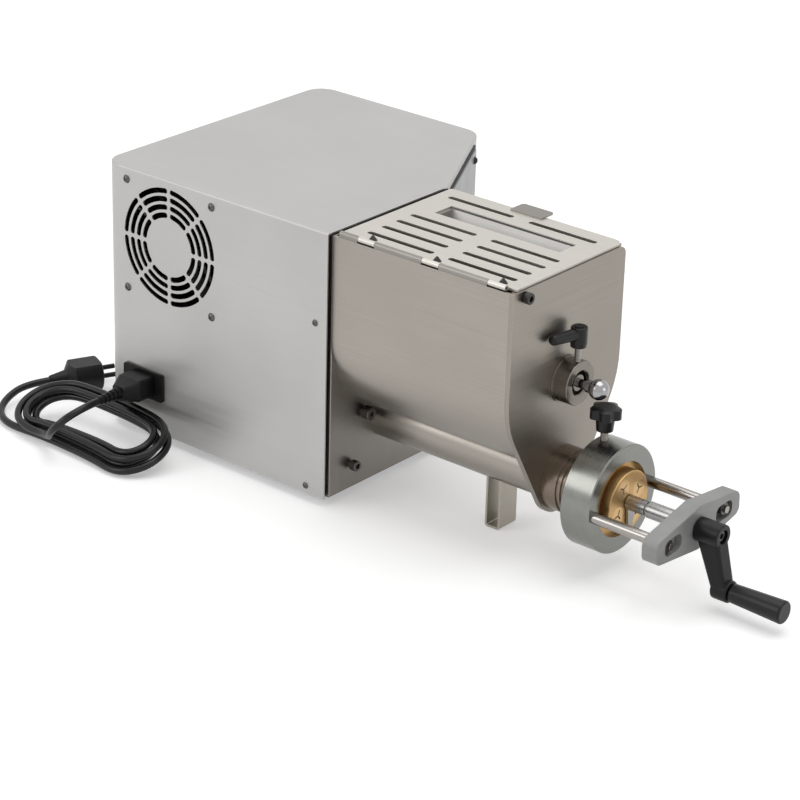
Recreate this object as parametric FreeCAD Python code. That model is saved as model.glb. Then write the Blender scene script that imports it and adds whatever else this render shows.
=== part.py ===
"""Electric pasta maker: a table-top extruder with a hopper, an auger barrel and a hand-turned cutter.

Machine directions while modelling: X runs along the auger towards the die, Y runs away from the
fan side, Z is up. X is 0 on the outer face of the mounting plate, Y is 0 on the fan side of the
housing, Z is 0 on the table. At the end everything moves so that the origin is the bottom centre.
"""
import FreeCAD
import Part
import math
import os

V = FreeCAD.Vector
os.makedirs("parts", exist_ok=True)

# Housing: a sheet-metal cover over a base tray
FOOT_HEIGHT = 8.0
FOOT_RADIUS = 12.0
FOOT_INSET = 42.0
HOUSING_LENGTH = 273.5
HOUSING_WIDTH = 299.0
HOUSING_HEIGHT = 252.7
SHEET = 1.5
CORNER_RADIUS = 20.0
CHAMFER_LENGTH = 73.0
CHAMFER_RADIUS = 22.0
TOP_EDGE_RADIUS = 1.4
TRAY_LIP = 22.0
COVER_SETBACK = 1.7

# Mounting plate, the thick plate that everything at the front is bolted to
PLATE_THICKNESS = 5.0
PLATE_NEAR_SETBACK = 0.4
PLATE_FAR_MARGIN = 0.2
PLATE_HEIGHT = 249.6
PLATE_BOTTOM_GAP = 0.4

# Fan and its grille in the near wall
FAN_SIZE = 120.0
FAN_HOLE_SPACING = 105.0
FAN_DEPTH = 25.0
FAN_INSET = 82.9
FAN_CENTRE_HEIGHT = 189.0
FAN_BORE_RADIUS = 57.0
FAN_HUB_RADIUS = 21.0
FAN_BLADES = 7
FAN_BLADE_GAP = 1.5
FAN_BLADE_TILT = 32.0
FAN_BLADE_THICKNESS = 1.6
FAN_SPINDLE_RADIUS = 3.0
GRILLE_RINGS = ((56.0, 51.0), (48.4, 43.2), (40.6, 35.6), (33.0, 27.8))
GRILLE_SPOKES = 8
GRILLE_SPOKE_WIDTH = 3.0

# Round-headed screws on the sheet metal
DOME_HEAD_RADIUS = 4.0
DOME_HEAD_HEIGHT = 2.4
COVER_SCREW_RADIUS = 3.2
COVER_SCREW_HEIGHT = 2.0
COVER_SCREW_FRONT = 14.8
COVER_SCREW_HIGH = 166.8
COVER_SCREW_LOW_FRONT = 23.2
COVER_SCREW_BACK = 30.0
COVER_SCREW_LOW = 7.0

# Control panel on the chamfered face
PANEL_THICKNESS = 1.5
PANEL_MARGIN = 9.0
PANEL_GASKET = 1.0
PANEL_GASKET_BORDER = 3.0
PANEL_TOP_MARGIN = 5.0
PANEL_HEIGHT = 150.0
BUTTON_RADIUS = 11.0
BUTTON_PROUD = 5.0
BUTTON_TRAVEL = 3.0
BUTTON_BEZEL_RADIUS = 14.5
BUTTON_BEZEL_HEIGHT = 3.0
BUTTON_FIT = 0.35
BUTTON_STEM_RADIUS = 5.0
BUTTON_HEIGHT_DROP = 82.0
BUTTON_SPACING = 42.0
KNOB_RADIUS = 14.0
KNOB_HEIGHT = 15.0
KNOB_SKIRT_RADIUS = 17.0
KNOB_SKIRT_HEIGHT = 3.0
KNOB_DROP = 125.0
KNOB_GAP = 0.4
SWITCH_BLOCK_DEPTH = 26.0
SWITCH_BLOCK_SIZE = 26.0

# Mains inlet and cord
INLET_INSET = 50.5
INLET_CENTRE_Z = 55.0
INLET_FLANGE_WIDTH = 50.0
INLET_FLANGE_HEIGHT = 28.0
INLET_FLANGE_THICKNESS = 2.5
INLET_BODY_WIDTH = 30.0
INLET_BODY_HEIGHT = 23.0
INLET_BODY_DEPTH = 26.0
INLET_CAVITY_WIDTH = 24.0
INLET_CAVITY_HEIGHT = 16.5
INLET_CAVITY_DEPTH = 15.0
INLET_PIN_WIDTH = 4.0
INLET_PIN_THICKNESS = 2.0
INLET_PIN_SPACING = 7.0
CONNECTOR_LENGTH = 32.0
CONNECTOR_WIDTH = 28.0
CONNECTOR_HEIGHT = 21.0
CONNECTOR_NOSE_GAP = 0.5
RELIEF_LENGTH = 24.0
RELIEF_RADIUS = 6.0
CORD_RADIUS = 3.5

# Motor and gearbox inside the housing
MOTOR_RADIUS = 52.0
MOTOR_LENGTH = 130.0
MOTOR_RISE = 22.0
MOTOR_OFFSET = 62.0
MOTOR_CRADLE_THICKNESS = 4.0
MOTOR_CRADLE_INSET = 12.0
MOTOR_CRADLE_WALL = 6.0
MOTOR_CRADLE_FOOT = 26.0
MOTOR_CRADLE_HALF_WIDTH = 40.0
MOTOR_CRADLE_DROP = 10.0
GEARBOX_LENGTH = 62.0
GEARBOX_WIDTH = 118.0
GEARBOX_BOTTOM = 18.0
GEARBOX_HEIGHT = 168.0
GEARBOX_CORNER = 10.0

# Hopper: half-round trough with an end plate
HOPPER_LENGTH = 195.0
HOPPER_WALL = 2.5
HOPPER_HALF_WIDTH = 78.3
HOPPER_TOP = 258.6
HOPPER_CENTRE_Y = 83.1
MIXER_HEIGHT = 159.6
END_PLATE_THICKNESS = 5.0
END_PLATE_FOOT_RADIUS = 32.5
END_PLATE_CORNER = 8.0

# Auger barrel, neck and foot
AUGER_HEIGHT = 67.3
BARREL_RADIUS = 22.5
BARREL_BORE = 18.5
FEED_SLOT_MARGIN = 2.0
NECK_RADIUS = 29.0
NECK_GROOVE_DEPTH = 1.2
NECK_GROOVE_WIDTH = 2.5
NECK_GROOVE_START = 16.0
NECK_LENGTH = 34.0
SPIGOT_RADIUS = 38.5
SPIGOT_LENGTH = 20.0
SPIGOT_MOUTH_RADIUS = 27.0
FOOT_STRAP_X = 125.0
FOOT_STRAP_SPAN = 16.0
FOOT_STRAP_WIDTH = 24.0
FOOT_STRAP_THICKNESS = 2.0
FOOT_STRAP_BEND = 3.0

# Mixer shaft with paddles, and auger
SHAFT_RADIUS = 9.0
SHAFT_FIT = 0.05
PADDLE_COUNT = 4
PADDLE_REACH = 66.0
PADDLE_RADIUS = 5.0
PADDLE_PITCH = 38.0
PADDLE_START = 34.0
PADDLE_BLADE_WIDTH = 24.0
PADDLE_BLADE_THICKNESS = 4.0
AUGER_RADIUS = 17.5
AUGER_CORE_RADIUS = 7.5
AUGER_PITCH = 26.0
AUGER_FLIGHT_THICKNESS = 3.5
AUGER_TURNS = 8
AUGER_START = 6.0

# Boss with the lock pin and the clamp lever on the end plate
BOSS_RADIUS = 20.0
BOSS_LENGTH = 16.0
BOSS_RIM = 1.2
BOSS_BORE = 10.5
BOSS_BORE_DEPTH = 10.0
PIN_RADIUS = 4.0
PIN_GRIP_RADIUS = 9.0
PIN_BALL_DISTANCE = 35.0
LEVER_STUD_RADIUS = 3.0
LEVER_STUD_EXPOSED = 13.0
LEVER_HUB_RADIUS = 7.4
LEVER_HUB_HEIGHT = 18.3
LEVER_OFFSET = 11.6
LEVER_REACH = 28.0
LEVER_END_RADIUS = 4.6
LEVER_ROOT_RADIUS = 5.6
LEVER_ANGLE = -102.0

# Clamp ring with its star knob
RING_RADIUS = 48.9
RING_START = 231.0
RING_LENGTH = 30.0
RING_OPENING = 34.0
RING_CHAMFER = 1.0
RING_FIT = 0.06
STAR_LOBES = 5
STAR_RADIUS = 13.9
STAR_LOBE_RADIUS = 5.2
STAR_LOBE_HEIGHT = 9.6
STAR_NECK_RADIUS = 8.5
STAR_NECK_HEIGHT = 12.0
STAR_STUD_RADIUS = 3.4
STAR_STUD_EXPOSED = 9.0
STAR_STUD_GAP = 0.4
STAR_SETBACK = 7.5

# Brass die
DIE_FLANGE_RADIUS = 37.5
DIE_FLANGE_THICKNESS = 4.0
DIE_PLUG_RADIUS = 28.0
DIE_PLUG_LENGTH = 12.0
DIE_EDGE = 0.8
DIE_INSERTS = 4
DIE_INSERT_RADIUS = 8.2
DIE_INSERT_CIRCLE = 16.5
DIE_INSERT_START_ANGLE = 30.0
DIE_INSERT_SLOT = 1.3
DIE_CENTRE_BORE = 4.1

# Guide rods, yoke and hand-turned cutter
HEAD_TILT = 3.0
ROD_RADIUS = 5.0
ROD_ROOT_RADIUS = 4.0
ROD_CIRCLE = 41.0
YOKE_BACK = 324.5
YOKE_THICKNESS = 15.0
YOKE_HALF_LENGTH = 61.0
YOKE_HALF_HEIGHT = 20.8
YOKE_END_HALF_HEIGHT = 10.6
YOKE_END_FILLET = 8.0
YOKE_POCKET_DEPTH = 7.0
YOKE_POCKET_LENGTH = 24.0
YOKE_POCKET_WIDTH = 15.0
NUT_ACROSS_FLATS = 11.0
NUT_HEIGHT = 5.0
ROD_THREAD_RADIUS = 3.2
CUTTER_SHAFT_RADIUS = 5.5
BUSH_RADIUS = 9.0
SLEEVE_RADIUS = 7.4
SLEEVE_START = 289.0
BLADE_HUB_RADIUS = 6.6
BLADE_THICKNESS = 2.5
BLADE_REACH = 27.0
BLADE_ROOT_WIDTH = 17.0
BLADE_TIP_WIDTH = 3.5
BLADE_CLEARANCE = 0.5

# Crank
CRANK_GAP = 0.5
CRANK_HUB_RADIUS = 10.6
CRANK_HUB_LENGTH = 24.0
CRANK_THROW = 47.3
CRANK_SETOUT = 12.0
CRANK_ARM_WIDTH = 17.0
CRANK_END_RADIUS = 9.8
CRANK_END_LENGTH = 16.0
CRANK_SCREW_RADIUS = 5.0
CRANK_SCREW_RECESS = 2.0
GRIP_LENGTH = 52.0
GRIP_ROOT_RADIUS = 8.3
GRIP_END_RADIUS = 10.3
GRIP_GAP = 0.4
GRIP_PIN_RADIUS = 3.0
GRIP_FIT = 0.05

# Cap screws
CAP_HEAD_RADIUS = 5.0
CAP_HEAD_HEIGHT = 6.0
CAP_SOCKET = 5.0
CAP_SOCKET_DEPTH = 2.5
CAP_STAND = 3.0
END_SCREW_INSET = 16.2
END_SCREW_HEIGHT = 244.2
END_SCREW_HEAD_HEIGHT = 5.0
END_SCREW_STAND = 1.0
PLATE_SCREW_HIGH = 71.2
PLATE_SCREW_HIGH_SIDE = 34.0
PLATE_SCREW_LOW = 24.4
PLATE_SCREW_LOW_SIDE = 49.5
BIG_HEAD_RADIUS = 6.2
BIG_HEAD_HEIGHT = 8.0

# Lid of the hopper
LID_THICKNESS = 2.5
LID_GAP = 0.3
LID_END_GAP = 4.5
LID_FRONT_INSET = 2.0
LID_HINGE_INSET = 5.6
LID_FAR_INSET = 1.6
LID_SLOT_WIDTH = 6.0
LID_SLOT_LENGTH = 72.0
LID_SLOT_PITCH = 19.2
LID_SLOT_FIRST = 19.0
LID_SLOT_ROWS = 4
LID_SLOT_FAR = 133.5
LID_FEED_START = 28.0
LID_FEED_LENGTH = 136.0
LID_FEED_WIDTH = 25.0
LID_FEED_FROM_HINGE = 94.0
CHUTE_DEPTH = 26.0
CHUTE_WALL = 1.5
LID_HINGE_RADIUS = 2.6
LID_PIN_RADIUS = 1.5
LID_PIN_FIT = 0.05
HINGE_KNUCKLE = 18.0
HINGE_KNUCKLE_GAP = 0.4
HINGE_POSITIONS = (36.0, 106.0, 176.0)
RIVET_RADIUS = 4.0
RIVET_HEIGHT = 4.2
TAB_LENGTH = 34.0
TAB_START = 72.0
TAB_DEPTH = 7.0
TAB_SHEET = 1.5
MAGNET_SIZE = 10.0

# Hank of mains cord lying against the housing
HANK_CENTRE = V(-250.0, -46.0, 18.9)
HANK_TURN = -2.0
HANK_LEAN = 18.0
HANK_RUN = 106.0
HANK_OUTER = 36.0
HANK_ENTRY = -44.0
HANK_PITCH = 8.0
HANK_LAYER = 7.9
HANK_STEPS = 4
PLUG_LENGTH = 28.0
PLUG_RADIUS = 17.5
PLUG_HALF_THICKNESS = 13.5
PLUG_SHOULDER = 6.0
PLUG_NECK_LENGTH = 16.0
CORD_LIFT = 0.4
PLUG_NECK_RADIUS = 8.0
PLUG_PIN_RADIUS = 2.4
PLUG_PIN_LENGTH = 19.0
PLUG_PIN_SPACING = 19.0

# Derived places
HOUSING_TOP = FOOT_HEIGHT + HOUSING_HEIGHT
HOUSING_BACK = -HOUSING_LENGTH
COVER_FRONT = -COVER_SETBACK
PLATE_NEAR_Y = HOPPER_CENTRE_Y - HOPPER_HALF_WIDTH + PLATE_NEAR_SETBACK
PLATE_FAR_Y = HOPPER_CENTRE_Y + HOPPER_HALF_WIDTH + PLATE_FAR_MARGIN
FAN_X = HOUSING_BACK + FAN_INSET
INLET_X = HOUSING_BACK + INLET_INSET
AUGER_AXIS = V(0, HOPPER_CENTRE_Y, AUGER_HEIGHT)
MIXER_AXIS = V(0, HOPPER_CENTRE_Y, MIXER_HEIGHT)
SPIGOT_START = RING_START + 0.5
SPIGOT_END = SPIGOT_START + SPIGOT_LENGTH
RING_END = RING_START + RING_LENGTH
DIE_FACE = SPIGOT_END + DIE_FLANGE_THICKNESS + DIE_PLUG_LENGTH
YOKE_FRONT = YOKE_BACK + YOKE_THICKNESS
CRANK_BACK = YOKE_FRONT + CRANK_GAP
CRANK_FRONT = CRANK_BACK + CRANK_HUB_LENGTH
CRANK_PIN_HEIGHT = AUGER_HEIGHT - CRANK_THROW
CRANK_END_BACK = CRANK_BACK + CRANK_SETOUT + CRANK_HUB_LENGTH - CRANK_END_LENGTH
CRANK_END_FRONT = CRANK_END_BACK + CRANK_END_LENGTH
GRIP_START = CRANK_END_FRONT + GRIP_GAP
GRIP_FINISH = GRIP_START + GRIP_LENGTH
MIDDLE = V((GRIP_FINISH - HOUSING_LENGTH) / 2, (HOUSING_WIDTH - INLET_FLANGE_THICKNESS) / 2, 0)

X_DIR = V(1, 0, 0)
Y_DIR = V(0, 1, 0)
Z_DIR = V(0, 0, 1)


def save(name, *solids):
    """Write one node, moved so that the origin is the bottom centre of the machine."""
    shape = solids[0] if len(solids) == 1 else Part.makeCompound(list(solids))
    moved = shape.copy()
    moved.translate(V(0, 0, 0) - MIDDLE)
    moved.exportStep("parts/" + name + ".step")


def box(x0, x1, y0, y1, z0, z1):
    return Part.makeBox(x1 - x0, y1 - y0, z1 - z0, V(x0, y0, z0))


def rod(radius, start, end):
    """Round bar between two points."""
    along = end - start
    return Part.makeCylinder(radius, along.Length, start, along)


def axial(radius, x0, x1, axis=AUGER_AXIS):
    return Part.makeCylinder(radius, x1 - x0, axis + V(x0, 0, 0), X_DIR)


def cone(r0, r1, x0, x1, axis=AUGER_AXIS):
    return Part.makeCone(r0, r1, x1 - x0, axis + V(x0, 0, 0), X_DIR)


def arc_edge(a, b, c):
    return Part.Arc(a, b, c).toShape()


def line_edge(a, b):
    return Part.LineSegment(a, b).toShape()


def rounded_wire(points, radii):
    """Closed wire through points, each corner rounded by its radius."""
    corners = []
    count = len(points)
    for i, corner in enumerate(points):
        before = (points[i - 1] - corner).normalize()
        after = (points[(i + 1) % count] - corner).normalize()
        if radii[i] <= 0:
            corners.append((corner, corner, corner))
            continue
        half = before.getAngle(after) / 2
        reach = radii[i] / math.tan(half)
        middle = (before + after).normalize()
        centre = corner + middle * (radii[i] / math.sin(half))
        corners.append((corner + before * reach, centre - middle * radii[i], corner + after * reach))
    edges = []
    for i, (first, mid, last) in enumerate(corners):
        if (last - first).Length > 1e-6:
            edges.append(arc_edge(first, mid, last))
        following = corners[(i + 1) % count][0]
        if (following - last).Length > 1e-6:
            edges.append(line_edge(last, following))
    return Part.Wire(edges)


def prism(points, radii, along):
    return Part.Face(rounded_wire(points, radii)).extrude(along)


def centred_block(width, height, depth, corner):
    """Rounded block about the Y axis: width along X, height along Z, depth along +Y from 0."""
    w = width / 2
    h = height / 2
    points = [V(-w, 0, -h), V(w, 0, -h), V(w, 0, h), V(-w, 0, h)]
    return prism(points, [corner] * 4, Y_DIR * depth)


def dome(centre, direction, radius=DOME_HEAD_RADIUS, height=DOME_HEAD_HEIGHT):
    """Round screw head standing on a surface, with a cross recess."""
    sphere_radius = (radius * radius + height * height) / (2 * height)
    ball = Part.makeSphere(sphere_radius, V(0, 0, height - sphere_radius))
    keep = Part.makeCylinder(radius * 1.2, height * 1.5)
    head = ball.common(keep)
    slot = Part.makeBox(radius, radius * 0.25, height, V(-radius / 2, -radius / 8, height * 0.55))
    cross = slot.fuse(slot.rotated(V(0, 0, 0), Z_DIR, 90))
    return aimed(head.cut(cross), centre, direction)


def aimed(shape, centre, direction):
    """Turn a shape built along +Z so that it points in a direction, then move it to a place."""
    placed = shape.copy()
    placed.Placement = FreeCAD.Placement(centre, FreeCAD.Rotation(Z_DIR, direction))
    return placed


def hexagon(across, height):
    """Hexagonal bar along +Z."""
    reach = across / math.sqrt(3)
    corners = [V(reach * math.cos(math.radians(60 * i)), reach * math.sin(math.radians(60 * i)), 0)
               for i in range(6)]
    return Part.Face(Part.makePolygon(corners + corners[:1])).extrude(Z_DIR * height)


def cap_screw(centre, direction, radius, height, stand):
    """Cap head with a hexagonal socket, on a short length of its own shank."""
    shank = Part.makeCylinder(radius * 0.6, stand)
    head = Part.makeCylinder(radius, height, V(0, 0, stand))
    head = head.makeFillet(0.6, [head.Edges[0]])
    socket = hexagon(CAP_SOCKET, CAP_SOCKET_DEPTH)
    socket.translate(V(0, 0, stand + height - CAP_SOCKET_DEPTH))
    return aimed(shank.fuse(head).cut(socket), centre, direction)


def tilted(y, z):
    """Point beside the auger axis in the head's own directions, which lie slightly turned."""
    a = math.radians(HEAD_TILT)
    return V(0, y * math.cos(a) - z * math.sin(a), y * math.sin(a) + z * math.cos(a)) + AUGER_AXIS


# Housing outline, seen from above, shrunk by an inset for the inner faces
CHAMFER_START_Y = PLATE_FAR_Y + 1.6
CHAMFER_ALONG = V(-CHAMFER_LENGTH, HOUSING_WIDTH - CHAMFER_START_Y, 0)
CHAMFER_OUT = V(CHAMFER_ALONG.y, -CHAMFER_ALONG.x, 0).normalize()
CHAMFER_NEAR = V(COVER_FRONT, CHAMFER_START_Y, 0)
CHAMFER_FAR = CHAMFER_NEAR + CHAMFER_ALONG


def housing_points(inset, z):
    """Corners of the housing, inset from the outside, on a level."""
    bend = CHAMFER_ALONG.getAngle(V(-1, 0, 0)) / 2
    turn = CHAMFER_ALONG.getAngle(V(0, 1, 0)) / 2
    return [V(HOUSING_BACK + inset, inset, z),
            V(COVER_FRONT, inset, z),
            V(COVER_FRONT, CHAMFER_START_Y - inset * math.tan(turn), z),
            V(CHAMFER_FAR.x - inset * math.tan(bend), HOUSING_WIDTH - inset, z),
            V(HOUSING_BACK + inset, HOUSING_WIDTH - inset, z)]


def housing_radii(inset):
    return [CORNER_RADIUS - inset, 0, 0, CHAMFER_RADIUS - inset, CORNER_RADIUS - inset]


def grille_slots():
    """Rounded slots in rings about the fan, parted by spokes."""
    cutters = []
    for outer, inner in GRILLE_RINGS:
        middle = (outer + inner) / 2
        half = (outer - inner) / 2
        step = 2 * math.pi / GRILLE_SPOKES
        trim = (GRILLE_SPOKE_WIDTH / 2 + half) / middle
        for k in range(GRILLE_SPOKES):
            a0 = k * step + math.pi / 2 + trim
            a1 = (k + 1) * step + math.pi / 2 - trim
            cutters.append(ring_slot(middle, half, a0, a1))
    return Part.makeCompound(cutters)


def ring_slot(middle, half, a0, a1):
    """One curved slot with round ends, cut through the near wall."""
    def at(radius, angle):
        return V(radius * math.cos(angle), 0, radius * math.sin(angle))
    mid = (a0 + a1) / 2
    outer = middle + half
    inner = middle - half
    end_tip = at(middle, a1) + V(-math.sin(a1), 0, math.cos(a1)) * half
    start_tip = at(middle, a0) - V(-math.sin(a0), 0, math.cos(a0)) * half
    wire = Part.Wire([arc_edge(at(outer, a0), at(outer, mid), at(outer, a1)),
                      arc_edge(at(outer, a1), end_tip, at(inner, a1)),
                      arc_edge(at(inner, a1), at(inner, mid), at(inner, a0)),
                      arc_edge(at(inner, a0), start_tip, at(outer, a0))])
    slot = Part.Face(wire).extrude(Y_DIR * SHEET * 3)
    slot.translate(V(FAN_X, -SHEET, FOOT_HEIGHT + FAN_CENTRE_HEIGHT))
    return slot


def housing_cover():
    rise = Z_DIR * HOUSING_HEIGHT
    outer = prism(housing_points(0, FOOT_HEIGHT), housing_radii(0), rise)
    edges = [e for e in outer.Edges if e.BoundBox.ZMin > HOUSING_TOP - 0.01
             and e.BoundBox.XMax < COVER_FRONT - 1]
    outer = outer.makeFillet(TOP_EDGE_RADIUS, edges)
    hollow = Z_DIR * (HOUSING_HEIGHT - SHEET)
    inner = prism(housing_points(SHEET, FOOT_HEIGHT), housing_radii(SHEET), hollow)
    shell = outer.cut(inner)
    mouth = box(COVER_FRONT - SHEET * 3, 1, SHEET, PLATE_FAR_Y + 0.8, 0, HOUSING_TOP - SHEET)
    shell = shell.cut(mouth)
    shell = shell.cut(grille_slots())
    inlet_hole = centred_block(INLET_BODY_WIDTH, INLET_BODY_HEIGHT, SHEET * 3, 3.0)
    inlet_hole.translate(V(INLET_X, -SHEET, INLET_CENTRE_Z))
    shell = shell.cut(inlet_hole)
    for place, radius in panel_holes():
        hole = rod(radius, place - CHAMFER_OUT * 8, place + CHAMFER_OUT * 4)
        shell = shell.cut(hole)
    return shell


def base_tray():
    lip = SHEET
    rise = Z_DIR * TRAY_LIP
    outer = prism(housing_points(lip, FOOT_HEIGHT), housing_radii(lip), rise)
    inner = prism(housing_points(2 * lip, FOOT_HEIGHT + lip), housing_radii(2 * lip), rise)
    front = box(-PLATE_THICKNESS - 0.01, 5, 0, PLATE_FAR_Y + 0.4, 0, HOUSING_TOP)
    return outer.cut(inner).cut(front)


def mounting_plate():
    low = FOOT_HEIGHT + PLATE_BOTTOM_GAP
    plate = box(-PLATE_THICKNESS, 0, PLATE_NEAR_Y, PLATE_FAR_Y, low, low + PLATE_HEIGHT)
    edges = [e for e in plate.Edges if abs(e.BoundBox.XLength) < 1e-3
             and abs(e.BoundBox.XMin) < 1e-3]
    plate = plate.makeChamfer(0.6, edges)
    for axis in (AUGER_AXIS, MIXER_AXIS):
        plate = plate.cut(axial(SHAFT_RADIUS + SHAFT_FIT, -PLATE_THICKNESS - 1, 1, axis))
    return plate


def panel_point(along, drop):
    """Point on the chamfered face: distance from its near edge, and drop from the top."""
    return CHAMFER_NEAR + V(*CHAMFER_ALONG).normalize() * along + Z_DIR * (HOUSING_TOP - drop)


def panel_controls():
    middle = CHAMFER_ALONG.Length / 2
    start = panel_point(middle - BUTTON_SPACING / 2, BUTTON_HEIGHT_DROP)
    stop = panel_point(middle + BUTTON_SPACING / 2, BUTTON_HEIGHT_DROP)
    knob = panel_point(middle, KNOB_DROP)
    return start, stop, knob


def panel_holes():
    start, stop, knob = panel_controls()
    bore = BUTTON_STEM_RADIUS + BUTTON_FIT
    return [(start, bore), (stop, bore), (knob, BUTTON_STEM_RADIUS + BUTTON_FIT)]


def panel_plate(inset, lift, thickness):
    """Flat plate on the chamfered face."""
    width = CHAMFER_ALONG.Length - PANEL_MARGIN - CHAMFER_RADIUS * 0.75
    low = PANEL_TOP_MARGIN + PANEL_HEIGHT
    a = panel_point(PANEL_MARGIN / 2 + inset, PANEL_TOP_MARGIN + inset) + CHAMFER_OUT * lift
    b = panel_point(PANEL_MARGIN / 2 + width - inset, PANEL_TOP_MARGIN + inset) + CHAMFER_OUT * lift
    c = panel_point(PANEL_MARGIN / 2 + width - inset, low - inset) + CHAMFER_OUT * lift
    d = panel_point(PANEL_MARGIN / 2 + inset, low - inset) + CHAMFER_OUT * lift
    return prism([a, b, c, d], [3.0] * 4, CHAMFER_OUT * thickness), (a, b, c, d)


def control_panel():
    plate, corners = panel_plate(PANEL_GASKET_BORDER, PANEL_GASKET, PANEL_THICKNESS)
    for place, radius in panel_holes():
        plate = plate.cut(rod(radius, place, place + CHAMFER_OUT * 10))
    return plate, corners


def panel_gasket():
    gasket, corners = panel_plate(0, 0, PANEL_GASKET)
    for place, radius in panel_holes():
        gasket = gasket.cut(rod(radius, place - CHAMFER_OUT, place + CHAMFER_OUT * 10))
    return gasket


def button(place):
    """Push button: a cap that dips into its bezel, on a stem that reaches the switch."""
    face = place + CHAMFER_OUT * (PANEL_GASKET + PANEL_THICKNESS)
    foot = face + CHAMFER_OUT * (BUTTON_TRAVEL + 0.4)
    cap = rod(BUTTON_RADIUS, foot, foot + CHAMFER_OUT * BUTTON_PROUD)
    cap = cap.makeFillet(1.2, [e for e in cap.Edges if e.Closed and
                               (e.CenterOfMass - foot).dot(CHAMFER_OUT) > BUTTON_PROUD / 2])
    stem_start = place - CHAMFER_OUT * (SHEET + 1.5)
    return cap.fuse(rod(BUTTON_STEM_RADIUS, stem_start, foot))


def bezel(place):
    face = place + CHAMFER_OUT * (PANEL_GASKET + PANEL_THICKNESS)
    outer = Part.makeCone(BUTTON_BEZEL_RADIUS, BUTTON_BEZEL_RADIUS - 1.2,
                          BUTTON_BEZEL_HEIGHT + 2.4, face, CHAMFER_OUT)
    return outer.cut(rod(BUTTON_RADIUS + BUTTON_FIT, face - CHAMFER_OUT, face + CHAMFER_OUT * 9))


def selector_knob(place):
    """Ribbed knob with a skirt and a pointer ridge, on its own spindle."""
    face = CHAMFER_OUT * (PANEL_GASKET + PANEL_THICKNESS + KNOB_GAP)
    body = Part.makeCylinder(KNOB_SKIRT_RADIUS, KNOB_SKIRT_HEIGHT)
    grip = Part.makeCone(KNOB_RADIUS, KNOB_RADIUS - 1.5, KNOB_HEIGHT, V(0, 0, KNOB_SKIRT_HEIGHT))
    for k in range(12):
        angle = math.radians(30 * k)
        flute = Part.makeCylinder(1.8, KNOB_HEIGHT + 1,
                                  V(KNOB_RADIUS * math.cos(angle), KNOB_RADIUS * math.sin(angle),
                                    KNOB_SKIRT_HEIGHT + 2))
        grip = grip.cut(flute)
    ridge = Part.makeBox(KNOB_RADIUS - 3, 2.0, 1.2,
                         V(1.0, -1.0, KNOB_SKIRT_HEIGHT + KNOB_HEIGHT - 0.2))
    shape = aimed(body.fuse(grip).fuse(ridge), place + face, CHAMFER_OUT)
    spindle = rod(BUTTON_STEM_RADIUS - 1.5, place - CHAMFER_OUT * (SHEET + 1.5), place + face)
    return shape.fuse(spindle)


def switch_block(place):
    """Contact block behind the panel, clear of the travelling stem."""
    half = SWITCH_BLOCK_SIZE / 2
    block = Part.makeBox(SWITCH_BLOCK_SIZE, SWITCH_BLOCK_SIZE, SWITCH_BLOCK_DEPTH, V(-half, -half, 0))
    well = Part.makeCylinder(BUTTON_STEM_RADIUS + 0.6, 8.0)
    well.translate(V(0, 0, SWITCH_BLOCK_DEPTH - 8.0))
    shape = block.cut(well)
    return aimed(shape, place - CHAMFER_OUT * (SHEET + SWITCH_BLOCK_DEPTH), CHAMFER_OUT)


def fan_centre(y):
    return V(FAN_X, y, FOOT_HEIGHT + FAN_CENTRE_HEIGHT)


def fan_frame():
    """Square frame with a round duct, four struts and the spindle that carries the rotor."""
    frame = centred_block(FAN_SIZE, FAN_SIZE, FAN_DEPTH, 5.0)
    frame = frame.cut(Part.makeCylinder(FAN_BORE_RADIUS, FAN_DEPTH + 2, V(0, -1, 0), Y_DIR))
    motor = Part.makeCylinder(FAN_HUB_RADIUS - 1, 5.0, V(0, FAN_DEPTH - 5.0, 0), Y_DIR)
    spindle = Part.makeCylinder(FAN_SPINDLE_RADIUS, FAN_DEPTH - 7.0, V(0, 3.0, 0), Y_DIR)
    shape = frame.fuse(motor).fuse(spindle)
    for k in range(4):
        strut = Part.makeBox(FAN_BORE_RADIUS + 2, 3.0, 5.0, V(0, FAN_DEPTH - 3.0, -2.5))
        shape = shape.fuse(strut.rotated(V(0, 0, 0), Y_DIR, 45 + 90 * k))
    shape.translate(fan_centre(SHEET))
    return shape.removeSplitter()


def fan_rotor():
    """Hub with blades, open at the back where it runs round the spindle."""
    depth = FAN_DEPTH - 8.0
    hub = Part.makeCylinder(FAN_HUB_RADIUS, depth, V(0, 2.0, 0), Y_DIR)
    hub = hub.cut(Part.makeCylinder(FAN_SPINDLE_RADIUS + 0.05, depth, V(0, 2.95, 0), Y_DIR))
    shape = hub
    reach = FAN_BORE_RADIUS - FAN_BLADE_GAP - FAN_HUB_RADIUS + 1
    for k in range(FAN_BLADES):
        blade = Part.makeBox(reach, depth - 4, FAN_BLADE_THICKNESS,
                             V(FAN_HUB_RADIUS - 1, 4.0, -FAN_BLADE_THICKNESS / 2))
        middle = V(FAN_HUB_RADIUS, 4.0 + (depth - 4) / 2, 0)
        wide = blade.rotated(middle, X_DIR, FAN_BLADE_TILT)
        shape = shape.fuse(wide.rotated(V(0, 0, 0), Y_DIR, 360 * k / FAN_BLADES))
    shape.translate(fan_centre(SHEET))
    return shape


def motor():
    """Motor body with cooling ribs and end caps, lying along the machine behind the gearbox."""
    front = -PLATE_THICKNESS - GEARBOX_LENGTH
    axis = V(0, HOPPER_CENTRE_Y + MOTOR_OFFSET, AUGER_HEIGHT + MOTOR_RISE)
    body = axial(MOTOR_RADIUS - 3, front - MOTOR_LENGTH, front, axis)
    for k in range(9):
        start = front - 20 - k * 11.0
        body = body.fuse(axial(MOTOR_RADIUS, start - 5, start, axis))
    return body


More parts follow.
